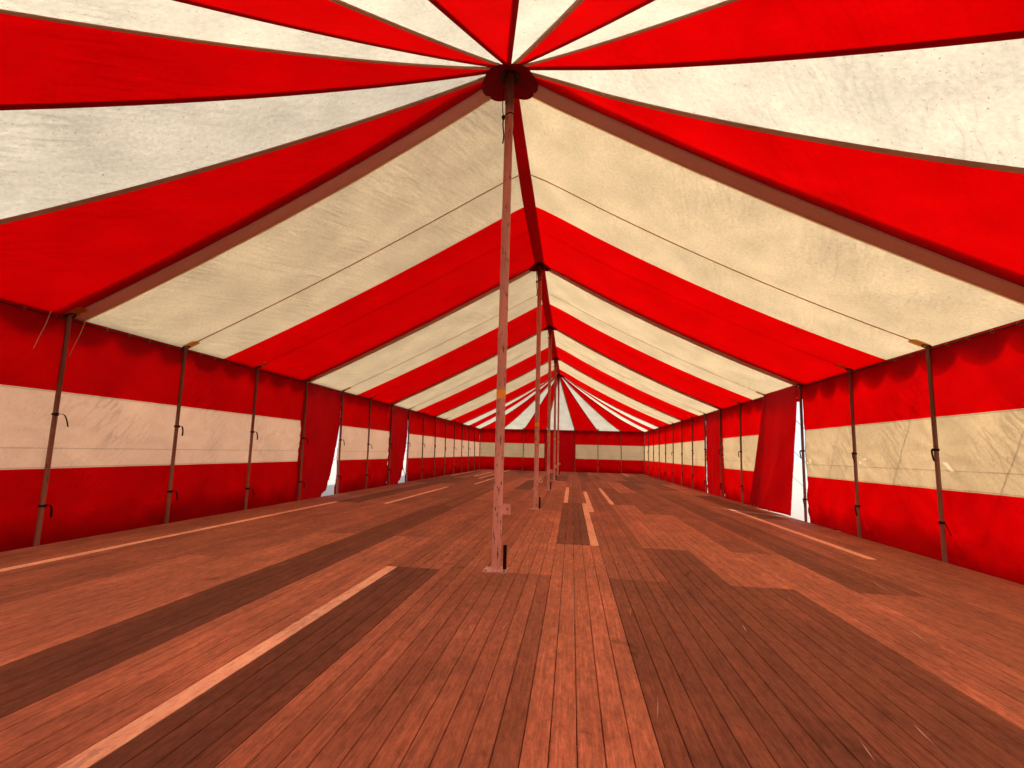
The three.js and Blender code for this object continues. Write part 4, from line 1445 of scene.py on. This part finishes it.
class TENT_OT_doors(Operator):
    """Hangs the red door cloths: two on each side and one in each end, some of them drawn back"""
    bl_idname = "tent.doors"
    bl_label = "Doors"

    def execute(self, context):
        free_edges = []
        for node, out, along_x, fold in DOORS:
            points = hang_cloth(node, out, along_x, ("door_canvas",), 50.0 + len(node), fold, DOOR_LAP)
            if not along_x:
                columns = len(points) // (WALL_ROWS + 1)
                free_edges.append(points[columns - 1::columns])
        sheet = drawn_door_sheet()
        free_edges += [sheet[0][::DRAWN_COLUMNS + 1], sheet[0][-DRAWN_COLUMNS - 1:]]
        cloth = facing(make_mesh("door_right_1_cloth", *sheet), (-1, 0, 0))
        piece = cloth_piece(cloth, ("door_canvas",), "wall_canvas", "door_right_1")
        sideways = Matrix.Rotation(pi / 2, 3, "Y")
        places = [(place - Vector((copysign(0.003, place.x), 0, 0)), sideways)
                  for edge in free_edges for place in edge[2:-1:EYELET_EVERY]]
        put_fittings("door_eyelets", wire_ring(0.010, 0.003, 10, 4), places, "brass", "wall_canvas")
        return {"FINISHED"}


# Side poles.
SIDE_LEAN = 0.04
POLE_HEAD = RIDGE_Z - PITCH * (HALF_WIDTH + SIDE_RADIUS) - CANVAS_DROP - 0.001
WALL_ROPE_Z = 2.56
STRAP_SCATTER = 0.07
STRAP_BEND = 16
TAIL_STEPS = 12
TIE_CHANCE = 0.12
TIE_SHIFTS = (-0.16, 0.22)
TIE_INSET = 0.03
RING_SPACING = 0.3


def on_pole(station, z):
    """The middle of a side pole at a height: it leans in towards its foot."""
    back = SIDE_LEAN * (POLE_HEAD - z) / POLE_HEAD * (sqrt(2) if station.corner else 1)
    return Vector((station.x - station.out_x * back, station.y - station.out_y * back, z))


def beyond(station, out, z):
    """A place that far outside a side pole's head, at a height."""
    return Vector((station.x + station.out_x * out, station.y + station.out_y * out, z))


def first_left(station):
    """The left side pole that stands level with the first king pole."""
    return station.x < -END_DOOR_HALF and abs(station.y + RIDGE_END) < SPAN / 2


def upright(station):
    """A turn whose X axis points out of the tent at a station."""
    out = Vector((station.out_x, station.out_y, 0)).normalized()
    return Matrix((out, UP.cross(out), UP)).transposed()


def strap_loop():
    """A strap round a side pole and through a tab on the wall, buckled, with its tail hanging in a curl."""
    webbing = bpy.context.scene.tent_webbing
    width, thick = webbing.strap, webbing.thickness
    reach = SIDE_RADIUS + thick
    turns = even(pi / 2, 3 * pi / 2, STRAP_BEND)
    path = [Vector((reach * cos(turn), reach * sin(turn), 0)) for turn in turns]
    tab = ((0.018, -0.9), (0.03, -0.35), (0.03, 0.35), (0.018, 0.9))
    path += [Vector((x, reach * share, 0)) for x, share in tab] + [path[0].copy()]
    buckle = box_shape((-reach - 0.008, -0.017, -width * 0.65), (-reach + 0.001, 0.017, width * 0.65))
    tail = [Vector((-reach - 0.004, 0.0, 0.0))]
    for share in even(0, 1, TAIL_STEPS)[1:]:
        tail.append(Vector((-reach - 0.006 - 0.02 * sin(share * 2.6), -0.11 * share ** 0.6,
                            -0.13 * share ** 2.2 + 0.01 * sin(share * 6))))
    hanging = bent_bar(tail, width * 0.8, thick, (1, 0.2, 0.1))
    return joined([bent_bar(path, width, thick, UP), buckle, hanging])


def eave_tie():
    """A cotton tie hanging from the eave."""
    path = [Vector((0.004 * sin(k * 0.9), 0.007 * k - 0.004 * sin(k * 0.35), -0.034 * k))
            for k in range(14)]
    return bent_bar(path, 0.007, 0.0015, (0.2, 1, 0))


def pole_foot():
    """A round foot with a socket for a side pole."""
    socket = SIDE_RADIUS + 0.003
    return lathe([(0, 0), (0.055, 0), (0.055, 0.006), (socket, 0.008), (socket, 0.05), (0, 0.05)], 20)


def rope_inputs():
    rope = bpy.context.scene.tent_rope
    return {"Radius": rope.radius, "Lay": rope.lay}


class TENT_OT_side_poles(Operator):
    """Stands the side poles, with their rope, feet, straps and ties"""
    bl_idname = "tent.side_poles"
    bl_label = "Side poles"

    def execute(self, context):
        found = stations()
        steel = "side_pole_steel"
        nodes = nodes_of("side_poles")
        lines = [[on_pole(station, 0.0), on_pole(station, POLE_HEAD)] for station in found]
        lay_out("side_poles", lines_mesh("side_poles", lines), round_tube,
                {"Radius": SIDE_RADIUS, "Sides": 20}, "side_paint", steel, *nodes)
        places = [(on_pole(station, 0.0), upright(station)) for station in found]
        put_fittings("side_pole_feet", pole_foot(), places, "black_iron", steel, smooth=False)
        straps, ropes, ties = [], [], []
        chance = random.Random(5)
        for station in found:
            for height in (STRAP_UPPER, STRAP_LOWER):
                raised = FIRST_STRAP_RAISED if first_left(station) and height == STRAP_UPPER else 0
                height += raised + chance.uniform(-STRAP_SCATTER, STRAP_SCATTER)
                straps.append((on_pole(station, height), upright(station)))
        put_fittings("wall_straps", strap_loop(), straps, "dark_webbing", steel, seed=3, uneven=0.5)
        for out in (-1, 1):
            ropes.append([on_pole(s, WALL_ROPE_Z) for s in found if s.x == out * HALF_WIDTH])
            ends = sorted((s for s in found if s.y == out * HALF_LENGTH), key=lambda s: s.x)
            ropes.append([on_pole(s, WALL_ROPE_Z) for s in ends])
        # Its dark colour also stands in for the shade line along the eave.
        lay_out("wall_rope", lines_mesh("wall_rope", ropes), laid_rope, rope_inputs(), "dark_rope",
                "guy_rope")
        repeat("wall_rings", lines_mesh("wall_rings", ropes), row_of_fittings, wire_ring(0.019, 0.002, 12, 5),
               {"Spacing": RING_SPACING}, "zinc", steel)
        for station in found:
            tied = first_left(station) or chance.random() < TIE_CHANCE
            if tied and not station.corner:
                head = beyond(station, -TIE_INSET, POLE_HEAD - 0.004)
                along = Vector((-station.out_y, station.out_x, 0))
                ties += [(head + along * shift, upright(station)) for shift in TIE_SHIFTS]
        put_fittings("eave_ties", eave_tie(), ties, "pale_webbing", "roof_canvas", seed=8, uneven=1.2)
        return {"FINISHED"}


def on_slope(station, inset, gap):
    """A place under the roof, inside a side pole's head, and the turn that lies on the slope there: X out and
    down it, Z up through it."""
    x, y, _ = beyond(station, -inset, 0)
    normal = roof_normal(x, y)
    way = Vector((station.out_x, station.out_y, 0))
    down = (way - normal * way.dot(normal)).normalized()
    return under_roof(x, y, gap), Matrix((down, normal.cross(down), normal)).transposed()


def patch_shape():
    """A patch of webbing with cut corners, lying flat."""
    long, wide, cut, thick = 0.11, 0.07, 0.03, 0.003
    outline = [(long, wide - cut), (long - cut, wide), (-long + cut, wide), (-long, wide - cut),
               (-long, -wide + cut), (-long + cut, -wide), (long - cut, -wide), (long, -wide + cut)]
    points = [Vector((x, y, z)) for z in (0, thick) for x, y in outline]
    count = len(outline)
    sides = turned_over(ring_faces(2, count))
    return points, [tuple(range(count)), tuple(range(count, 2 * count))[::-1], *sides]


class TENT_OT_eave_fittings(Operator):
    """Sews a patch with an iron ring under the roof over each side pole"""
    bl_idname = "tent.eave_fittings"
    bl_label = "Eave fittings"

    def execute(self, context):
        posts = [station for station in stations() if not station.corner]
        patches = [on_slope(station, 0.09, 0.0105) for station in posts]
        rings = [on_slope(station, 0.012, 0.013) for station in posts]
        put_fittings("eave_patches", patch_shape(), patches, "patch_webbing", "roof_canvas", smooth=False)
        put_fittings("eave_rings", wire_ring(0.045, 0.009, 24, 8), rings, "black_iron", "side_pole_steel")
        return {"FINISHED"}


# King poles.
KING_SIDES = 40
KNOB_RADIUS = 0.028
SLEEVE_Z = 2.30
SLEEVE_HALF = 0.08
SLEEVE_RADIUS = 0.0485
LUG_Z = 0.66
LUG_REACH = 0.082
LUG_HALF = 0.05
LUG_HOLE = 0.015
LUG_THICK = 0.008
LUG_SIDES = 24
PLATE_HALF = 0.11
PLATE_THICK = 0.010
PLATE_Z = DECK_TOP + 0.0003
PLATE_BEVEL = 0.002
PLATE_TOP = PLATE_Z + PLATE_THICK
BOLT_INSET = 0.025
STOP_FROM = 0.0625
STOP_TO = 0.0965
STOP_HEIGHT = 0.22
TAPE_Z = (1.72, 1.80)
HEAD_STRAP_Z = 4.75
LIP_Z = 4.91


def king_tube(y):
    """A king pole: tube with rounded ends, a weld at its foot, a middle sleeve and a lip."""
    top = roof_z(KING_RADIUS, y, False) - CANVAS_DROP - 0.0003
    r, s = KING_RADIUS, SLEEVE_RADIUS
    low, high = SLEEVE_Z - SLEEVE_HALF, SLEEVE_Z + SLEEVE_HALF
    weld = [(r + 0.006, PLATE_Z), (r + 0.006, PLATE_TOP), (r + 0.005, PLATE_TOP + 0.004),
            (r, PLATE_TOP + 0.009)]
    sleeve = [(r, 1.2), (r, low - 0.002), (s - 0.001, low), (s, low + 0.002), (s, high - 0.002),
              (s - 0.001, high), (r, high + 0.002), (r, 3.6)]
    lip = [(r, LIP_Z), (r + 0.005, LIP_Z + 0.001), (r + 0.005, LIP_Z + 0.018), (r + 0.001, LIP_Z + 0.019)]
    head = [(r + 0.001, top - 0.003), (r - 0.003, top)]
    return lathe([(0, PLATE_Z), *weld, *sleeve, *lip, *head, (0, top)], KING_SIDES, (0, y))


def foot_plate(y):
    """A flat plate with its upper edges taken off."""
    rings = ((PLATE_HALF, PLATE_Z), (PLATE_HALF, PLATE_TOP - PLATE_BEVEL),
             (PLATE_HALF - PLATE_BEVEL, PLATE_TOP))
    points = [Vector((right * half, y + far * half, z)) for half, z in rings
              for right, far in CORNERS]
    return points, [(3, 2, 1, 0), (8, 9, 10, 11), *ring_faces(len(rings), 4)]


def holed_lug(y):
    """A square lug with a round hole, standing out from the pole along +X."""
    centre = Vector((KING_RADIUS + LUG_REACH * 0.6, y, LUG_Z))
    points, faces = [], []
    for side in (-1, 1):
        for k in range(LUG_SIDES):
            turn = 2 * pi * k / LUG_SIDES
            c, s = cos(turn), sin(turn)
            square = 1 / max(abs(c), abs(s))
            reach = LUG_REACH * (0.6 if c < 0 else 0.4)
            points.append(centre + Vector((c * square * reach, side * LUG_THICK / 2, s * square * LUG_HALF)))
            points.append(centre + Vector((c * LUG_HOLE, side * LUG_THICK / 2, s * LUG_HOLE)))
    back = 2 * LUG_SIDES
    for k in range(LUG_SIDES):
        a, b = 2 * k, 2 * ((k + 1) % LUG_SIDES)
        faces += [(a, b, b + 1, a + 1), (a + back, a + 1 + back, b + 1 + back, b + back),
                  (a, a + back, b + back, b), (a + 1, b + 1, b + 1 + back, a + 1 + back)]
    return points, faces


def hex_bolt():
    """A bolt head on its washer."""
    washer = lathe([(0, 0), (0.013, 0), (0.013, 0.002), (0, 0.002)], 16)
    head = lathe([(0, 0.002), (0.009, 0.002), (0.009, 0.0075), (0.0075, 0.009), (0, 0.009)], 6)
    return joined([washer, head])


def sleeve_bolt(y):
    """The cross bolt of the sleeve, facing the near end."""
    profile = [(0, 0), (0.014, 0), (0.014, 0.003), (0.009, 0.004), (0.009, 0.012), (0, 0.012)]
    points, faces = lathe(profile, 12)
    turn = Matrix.Rotation(pi / 2, 3, "X")
    return [turn @ p + Vector((0, y - SLEEVE_RADIUS + 0.002, SLEEVE_Z)) for p in points], faces


def head_strap(y):
    """The line tied round a king pole's head: its knot, its end hanging down and its lead up to the crown."""
    points, faces = wire_ring(KING_RADIUS + 0.003, 0.004, 28, 6)
    around = [Vector((p.x, p.y + y, HEAD_STRAP_Z + 0.02 + p.z * 1.6 + p.x * 0.3)) for p in points]
    side = -KING_RADIUS - 0.012
    knot, knot_faces = lathe([(0, -0.03), (0.016, -0.02), (0.021, 0), (0.015, 0.018), (0, 0.028)], 9)
    knot = [p + Vector((side - 0.004, y - 0.01, HEAD_STRAP_Z)) for p in knot]
    end = [Vector((side - 0.006 * sin(k * 0.6), y - 0.012, HEAD_STRAP_Z - 0.028 * k)) for k in range(12)]
    lead = [Vector((side - 0.004 - 0.012 * sin(k * 0.5), y - 0.012, HEAD_STRAP_Z + 0.05 * k))
            for k in range(8)]
    return joined([(around, faces), (knot, knot_faces), bent_bar(end, 0.014, 0.005, (1, 0, 0)),
                   bent_bar(lead, 0.010, 0.004, (1, 0, 0))])


def pole_head(y):
    """What shows above the roof: washer, spigot and knob, which sits on the washer at the two end poles."""
    roof = roof_z(0, y, False)
    top = max(KNOB_TOP, roof + 0.004 + 2 * KNOB_RADIUS)
    washer = [(0, roof + 0.0003), (0.06, roof + 0.0003), (0.06, roof + 0.004), (0.057, roof + 0.0063),
              (0, roof + 0.0063)]
    spigot = [(0, roof - 0.03), (0.010, roof - 0.03), (0.010, top - 0.01), (0, top - 0.01)]
    knob = [(KNOB_RADIUS * sin(turn), top - KNOB_RADIUS - KNOB_RADIUS * cos(turn))
            for turn in even(0, pi, 10)]
    parts = ((washer, 28), (spigot, 16), (knob, 20))
    return joined([lathe(profile, sides, (0, y)) for profile, sides in parts])


def tape_band(y):
    """Marking tape wrapped round the pole at reading height."""
    inner, outer = KING_RADIUS - 0.001, KING_RADIUS + 0.0012
    low, high = TAPE_Z
    profile = [(inner, low), (outer, low), (outer, high), (inner, high)]
    return rings_round(profile, KING_SIDES, (0, y)), ring_faces(4, KING_SIDES, closed=True)


def pole_stop(y):
    """The flat stop beside a king pole's foot."""
    return box_shape((STOP_FROM, y - 0.004, PLATE_TOP), (STOP_TO, y + 0.004, PLATE_TOP + STOP_HEIGHT))


class TENT_OT_king_poles(Operator):
    """Stands the king poles on their plates, with sleeve, lug, tape and strap"""
    bl_idname = "tent.king_poles"
    bl_label = "King poles"

    def execute(self, context):
        slot = "king_pole_paint"
        poles = [maker(y) for y in KING_YS for maker in (king_tube, holed_lug, foot_plate, sleeve_bolt)]
        nodes = [f"king_pole_{i + 1}" for i in range(len(KING_YS))]
        solid_piece("king_poles", poles, "king_paint", slot, *nodes)
        corner = PLATE_HALF - BOLT_INSET
        bolts = [(Vector((right * corner, y + far * corner, PLATE_TOP)), Matrix.Identity(3))
                 for y in KING_YS for right in (-1, 1) for far in (-1, 1)]
        put_fittings("king_pole_bolts", hex_bolt(), bolts, "zinc", slot, smooth=False)
        others = (("stops", pole_stop, "black_iron"), ("straps", head_strap, "dark_webbing"),
                  ("heads", pole_head, "zinc"), ("tapes", tape_band, "tape"))
        for name, maker, material in others:
            solid_piece(f"king_pole_{name}", [maker(y) for y in KING_YS], material, slot)
        return {"FINISHED"}


# Guy ropes and stakes.
GUY_REACH = 2.5
GUY_HITCH = 0.15
STAKE_TOP = 0.32
STAKE_LEAN = 0.10
RUNNER_AT = 0.62
HITCH_TURNS = 3
HITCH_STEP = 0.014
EAVE_EDGE = 5.12
EAVE_WEBBING_IN = 5.04
EAVE_WEBBING_THICK = 0.005
EAVE_WEBBING_LIFT = 0.004


def stake_out(z):
    """How far outside its pole a stake is at a height."""
    return GUY_REACH - STAKE_LEAN + STAKE_LEAN * z / STAKE_TOP


def guy_line(station):
    """From the eave's webbing down to the hitch on the stake."""
    stretch = sqrt(2) if station.corner else 1
    reach = EAVE_EDGE - 0.008
    head = beyond(station, (reach - HALF_WIDTH) * stretch, RIDGE_Z - PITCH * reach + 0.0033)
    return head, beyond(station, stake_out(GUY_HITCH), GUY_HITCH)


def along_z(way):
    """A turn whose Z axis points that way."""
    return way.to_track_quat("Z", "Y").to_matrix()


def stake_shape():
    """A forged stake with a mushroomed head, as long as it stands out of the ground."""
    return lathe([(0, 0), (0.016, 0), (0.016, STAKE_TOP - 0.03), (0.019, STAKE_TOP - 0.018),
                         (0.022, STAKE_TOP - 0.006), (0.018, STAKE_TOP - 0.001), (0, STAKE_TOP)], 14)


def runner_shape():
    """A wooden runner that tightens the rope: a slip with rounded ends."""
    profile = [(0, -0.055), (0.010, -0.052), (0.017, -0.035), (0.017, 0.035), (0.010, 0.052), (0, 0.055)]
    return lathe(profile, 10)


class TENT_OT_guys(Operator):
    """Stretches the guy ropes from the eave webbing to their stakes"""
    bl_idname = "tent.guys"
    bl_label = "Guy ropes"

    def execute(self, context):
        slot = "guy_rope"
        nodes = nodes_of("guy_ropes")
        lines, stakes, runners, hitches = [], [], [], []
        for station in stations():
            head, foot = guy_line(station)
            lines.append([head, foot])
            lean = Vector((station.out_x * STAKE_LEAN, station.out_y * STAKE_LEAN, STAKE_TOP)).normalized()
            stakes.append((beyond(station, stake_out(0), 0.0), along_z(lean)))
            runners.append((head + (foot - head) * RUNNER_AT, along_z((foot - head).normalized())))
            hitches += [(foot + lean * HITCH_STEP * (k - 1), along_z(lean)) for k in range(HITCH_TURNS)]
        lay_out("guy_ropes", lines_mesh("guy_ropes", lines), laid_rope, rope_inputs(), "rope", slot, *nodes)
        put_fittings("guy_stakes", stake_shape(), stakes, "black_iron", slot)
        put_fittings("guy_runners", runner_shape(), runners, "leather", slot)
        put_fittings("guy_hitches", wire_ring(0.023, 0.007, 16, 6), hitches, "rope", slot)
        middle = (EAVE_EDGE + EAVE_WEBBING_IN) / 2
        edges = eave_lines(middle, -EAVE_WEBBING_LIFT, (RIDGE_END + EAVE_EDGE, EAVE_EDGE))
        strips("eave_webbing", edges, EAVE_EDGE - EAVE_WEBBING_IN, EAVE_WEBBING_THICK, "pale_webbing", slot)
        return {"FINISHED"}


# Floor.
FLOOR_NODES = ("floor_near", "floor_middle", "floor_far")
BOARDS_PER_PANEL = 5
JOINT_SHIFT = -0.08
JOINT_GAP = 0.002
SHORTEST_BOARD = 0.3
STAGGER = 1.55
BEARER = 0.08
BEARERS = 9
NEW_BOARD = 1.0
NEW_BOARD_CHANCE = 0.10
USUAL_TONES = (0.28, 0.36, 0.42, 0.46, 0.50, 0.58)
# The panels at the near end by column and row: oil-dark ones and newer ones. The others there are alike.
LEFT_OILED, RIGHT_OILED, USUAL, NEWER = 0.24, 0.35, 0.50, 0.62
OILED_PANELS = {(-4, 0), (-4, 1), (-2, 0), (1, 1), (2, 0), (3, 0), (4, 0), (6, 1)}
NEWER_PANELS = {(-6, 0), (-5, 0), (-3, 0), (0, 1), (1, 0), (3, 1), (4, 1), (5, 0)}
# A new board here and there: its column, its place in the panel, and the rows that it runs through.
NEW_BOARDS = {(-8, 0): (0, 1), (-2, 0): (0,), (1, 4): (1,), (7, 4): (1,)}


def panel_tone(column, row, chance):
    """Tone of a floor panel, 0 dark to 1 new timber: the near panels as they lie, the others at random."""
    drawn = chance.choice(USUAL_TONES) + chance.uniform(-0.04, 0.04)
    if row > 1:
        return drawn
    if (column, row) in OILED_PANELS:
        return LEFT_OILED if column < 0 else RIGHT_OILED
    return NEWER if (column, row) in NEWER_PANELS else USUAL


def board_lines(settings, width):
    """The boards as lines along the tent, and their tones."""
    chance = random.Random(settings.seed)
    top = DECK_TOP - settings.board / 2 - 0.0003
    end = DECK_HALF_LENGTH
    lines, tones = [], []
    panels = ceil(DECK_HALF_WIDTH / settings.panel)
    for column in range(-panels, panels):
        shift = JOINT_SHIFT + (STAGGER if column % 2 else 0.0)
        joints = [-HALF_LENGTH + k * BAY + shift for k in range(7)]
        joints = [-end, *[y for y in joints if abs(y) < end - SHORTEST_BOARD], end]
        for index, (near, far) in enumerate(zip(joints, joints[1:])):
            # An odd column starts with a short piece, which is as the panel after it.
            row = max(index - column % 2, 0)
            tone = panel_tone(column, row, chance)
            bright = row > 1 and chance.random() < NEW_BOARD_CHANCE
            for place in range(BOARDS_PER_PANEL):
                x = column * settings.panel + (place + 0.5) * width
                if abs(x) + width / 2 > DECK_HALF_WIDTH + 0.001:
                    continue
                own = tone + chance.uniform(-0.05, 0.05)
                if (bright and place == 0) or row in NEW_BOARDS.get((column, place), ()):
                    own = NEW_BOARD
                lines.append([Vector((x, near + JOINT_GAP, top)), Vector((x, far - JOINT_GAP, top))])
                tones.append(own)
    return lines, tones


class TENT_OT_floor(Operator):
    """Lays the floor: panels of five boards on cross bearers"""
    bl_idname = "tent.floor"
    bl_label = "Board floor"

    def execute(self, context):
        settings = context.scene.tent_floor
        width = settings.panel / BOARDS_PER_PANEL
        lines, tones = board_lines(settings, width)
        inputs = {"Width": width - settings.gap, "Thickness": settings.board}
        lay_out("floor_boards", lines_mesh("floor_boards", lines, tones=tones), board, inputs, "timber",
                "deck_boards", *FLOOR_NODES)
        z = (DECK_TOP - settings.board) / 2
        bearers = []
        for node in FLOOR_NODES:
            low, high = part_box(node)
            for y in even(low.y + BEARER / 2, high.y - BEARER / 2, BEARERS - 1):
                bearers.append([Vector((side * DECK_HALF_WIDTH, y, z)) for side in (-1, 1)])
        lay_out("floor_bearers", lines_mesh("floor_bearers", bearers), board,
                {"Width": BEARER, "Thickness": DECK_TOP - settings.board - 0.001, "Eased Edge": 0.003},
                "bearers", "deck_boards")
        return {"FINISHED"}


# Camera and light.
CAMERA_PLACE = Vector((0.6956, -14.6418, 1.1994))
CAMERA_RIGHT = Vector((0.99214, 0.12251, 0.02544))
CAMERA_UP = Vector((-0.00780, -0.14239, 0.98978))
PHOTO_WIDTH = 1024
FOCAL_PIXELS = 479.3
SENSOR = 36.0
STAGE_HALF = 150.0
STAGE_Z = -0.002
SUN_SIZE = radians(0.53)


class TENT_OT_stage(Operator):
    """Sets the plain floor, the camera and the light"""
    bl_idname = "tent.stage"
    bl_label = "Camera and light"

    def execute(self, context):
        scene = context.scene
        settings = scene.tent_stage
        corners = [(x * STAGE_HALF, y * STAGE_HALF, STAGE_Z) for x, y in CORNERS]
        ground = make_mesh("plain_ground", corners, [(0, 1, 2, 3)])
        add_object("plain_ground", ground, [material_for("ground")])
        lens = bpy.data.cameras.new("photo_camera")
        lens.sensor_width = SENSOR
        lens.lens = FOCAL_PIXELS * SENSOR / PHOTO_WIDTH
        lens.clip_start, lens.clip_end = 0.05, 500
        camera = add_object("photo_camera", lens)
        backwards = CAMERA_RIGHT.cross(CAMERA_UP).normalized()
        turn = Matrix((CAMERA_RIGHT.normalized(), backwards.cross(CAMERA_RIGHT).normalized(), backwards))
        camera.matrix_world = Matrix.Translation(CAMERA_PLACE) @ turn.transposed().to_4x4()
        scene.camera = camera
        sun = bpy.data.lights.new("sun", "SUN")
        sun.energy = settings.sun
        sun.angle = SUN_SIZE
        sun.color = linear("#FFF6E6")
        height, bearing = settings.sun_height, settings.sun_bearing
        flat = cos(height)
        way = Vector((cos(bearing) * flat, sin(bearing) * flat, sin(height)))
        add_object("sun", sun).rotation_euler = way.to_track_quat("Z", "Y").to_euler()
        world = bpy.data.worlds.new("soft_sky")
        world.use_nodes = True
        sky = world.node_tree.nodes["Background"]
        sky.inputs["Color"].default_value = rgba(linear("#EEF3FA"))
        sky.inputs["Strength"].default_value = settings.sky
        scene.world = world
        scene.view_settings.view_transform = "Standard"
        return {"FINISHED"}


# The add-on.
SETTINGS = {
    "tent_canvas": CanvasSettings,
    "tent_webbing": WebbingSettings,
    "tent_poles": PoleSettings,
    "tent_rope": RopeSettings,
    "tent_floor": FloorSettings,
    "tent_stage": StageSettings,
}
STEPS = (TENT_OT_king_poles, TENT_OT_side_poles, TENT_OT_ridge, TENT_OT_roof, TENT_OT_webbing, TENT_OT_flaps,
         TENT_OT_eave_fittings, TENT_OT_valance, TENT_OT_walls, TENT_OT_doors, TENT_OT_guys, TENT_OT_floor,
         TENT_OT_stage)


class TENT_PT_sidebar(Panel):
    """Lists the tent's settings and the steps that build it"""
    bl_label = "Big Top"
    bl_idname = "TENT_PT_sidebar"
    bl_space_type = "VIEW_3D"
    bl_region_type = "UI"
    bl_category = "Big Top"

    def draw(self, context):
        for name, kind in SETTINGS.items():
            box = self.layout.box()
            box.label(text=kind.__doc__)
            group = getattr(context.scene, name)
            for label in kind.__annotations__:
                box.prop(group, label)
        for step in STEPS:
            self.layout.operator(step.bl_idname)


CLASSES = (*SETTINGS.values(), *STEPS, TENT_PT_sidebar)


def register():
    for kind in CLASSES:
        bpy.utils.register_class(kind)
    for name, kind in SETTINGS.items():
        setattr(Scene, name, PointerProperty(type=kind))


def unregister():
    for name in SETTINGS:
        delattr(Scene, name)
    for kind in reversed(CLASSES):
        bpy.utils.unregister_class(kind)


def main():
    register()
    for step in STEPS:
        group, name = step.bl_idname.split(".")
        getattr(getattr(bpy.ops, group), name)()


if __name__ == "__main__":
    main()
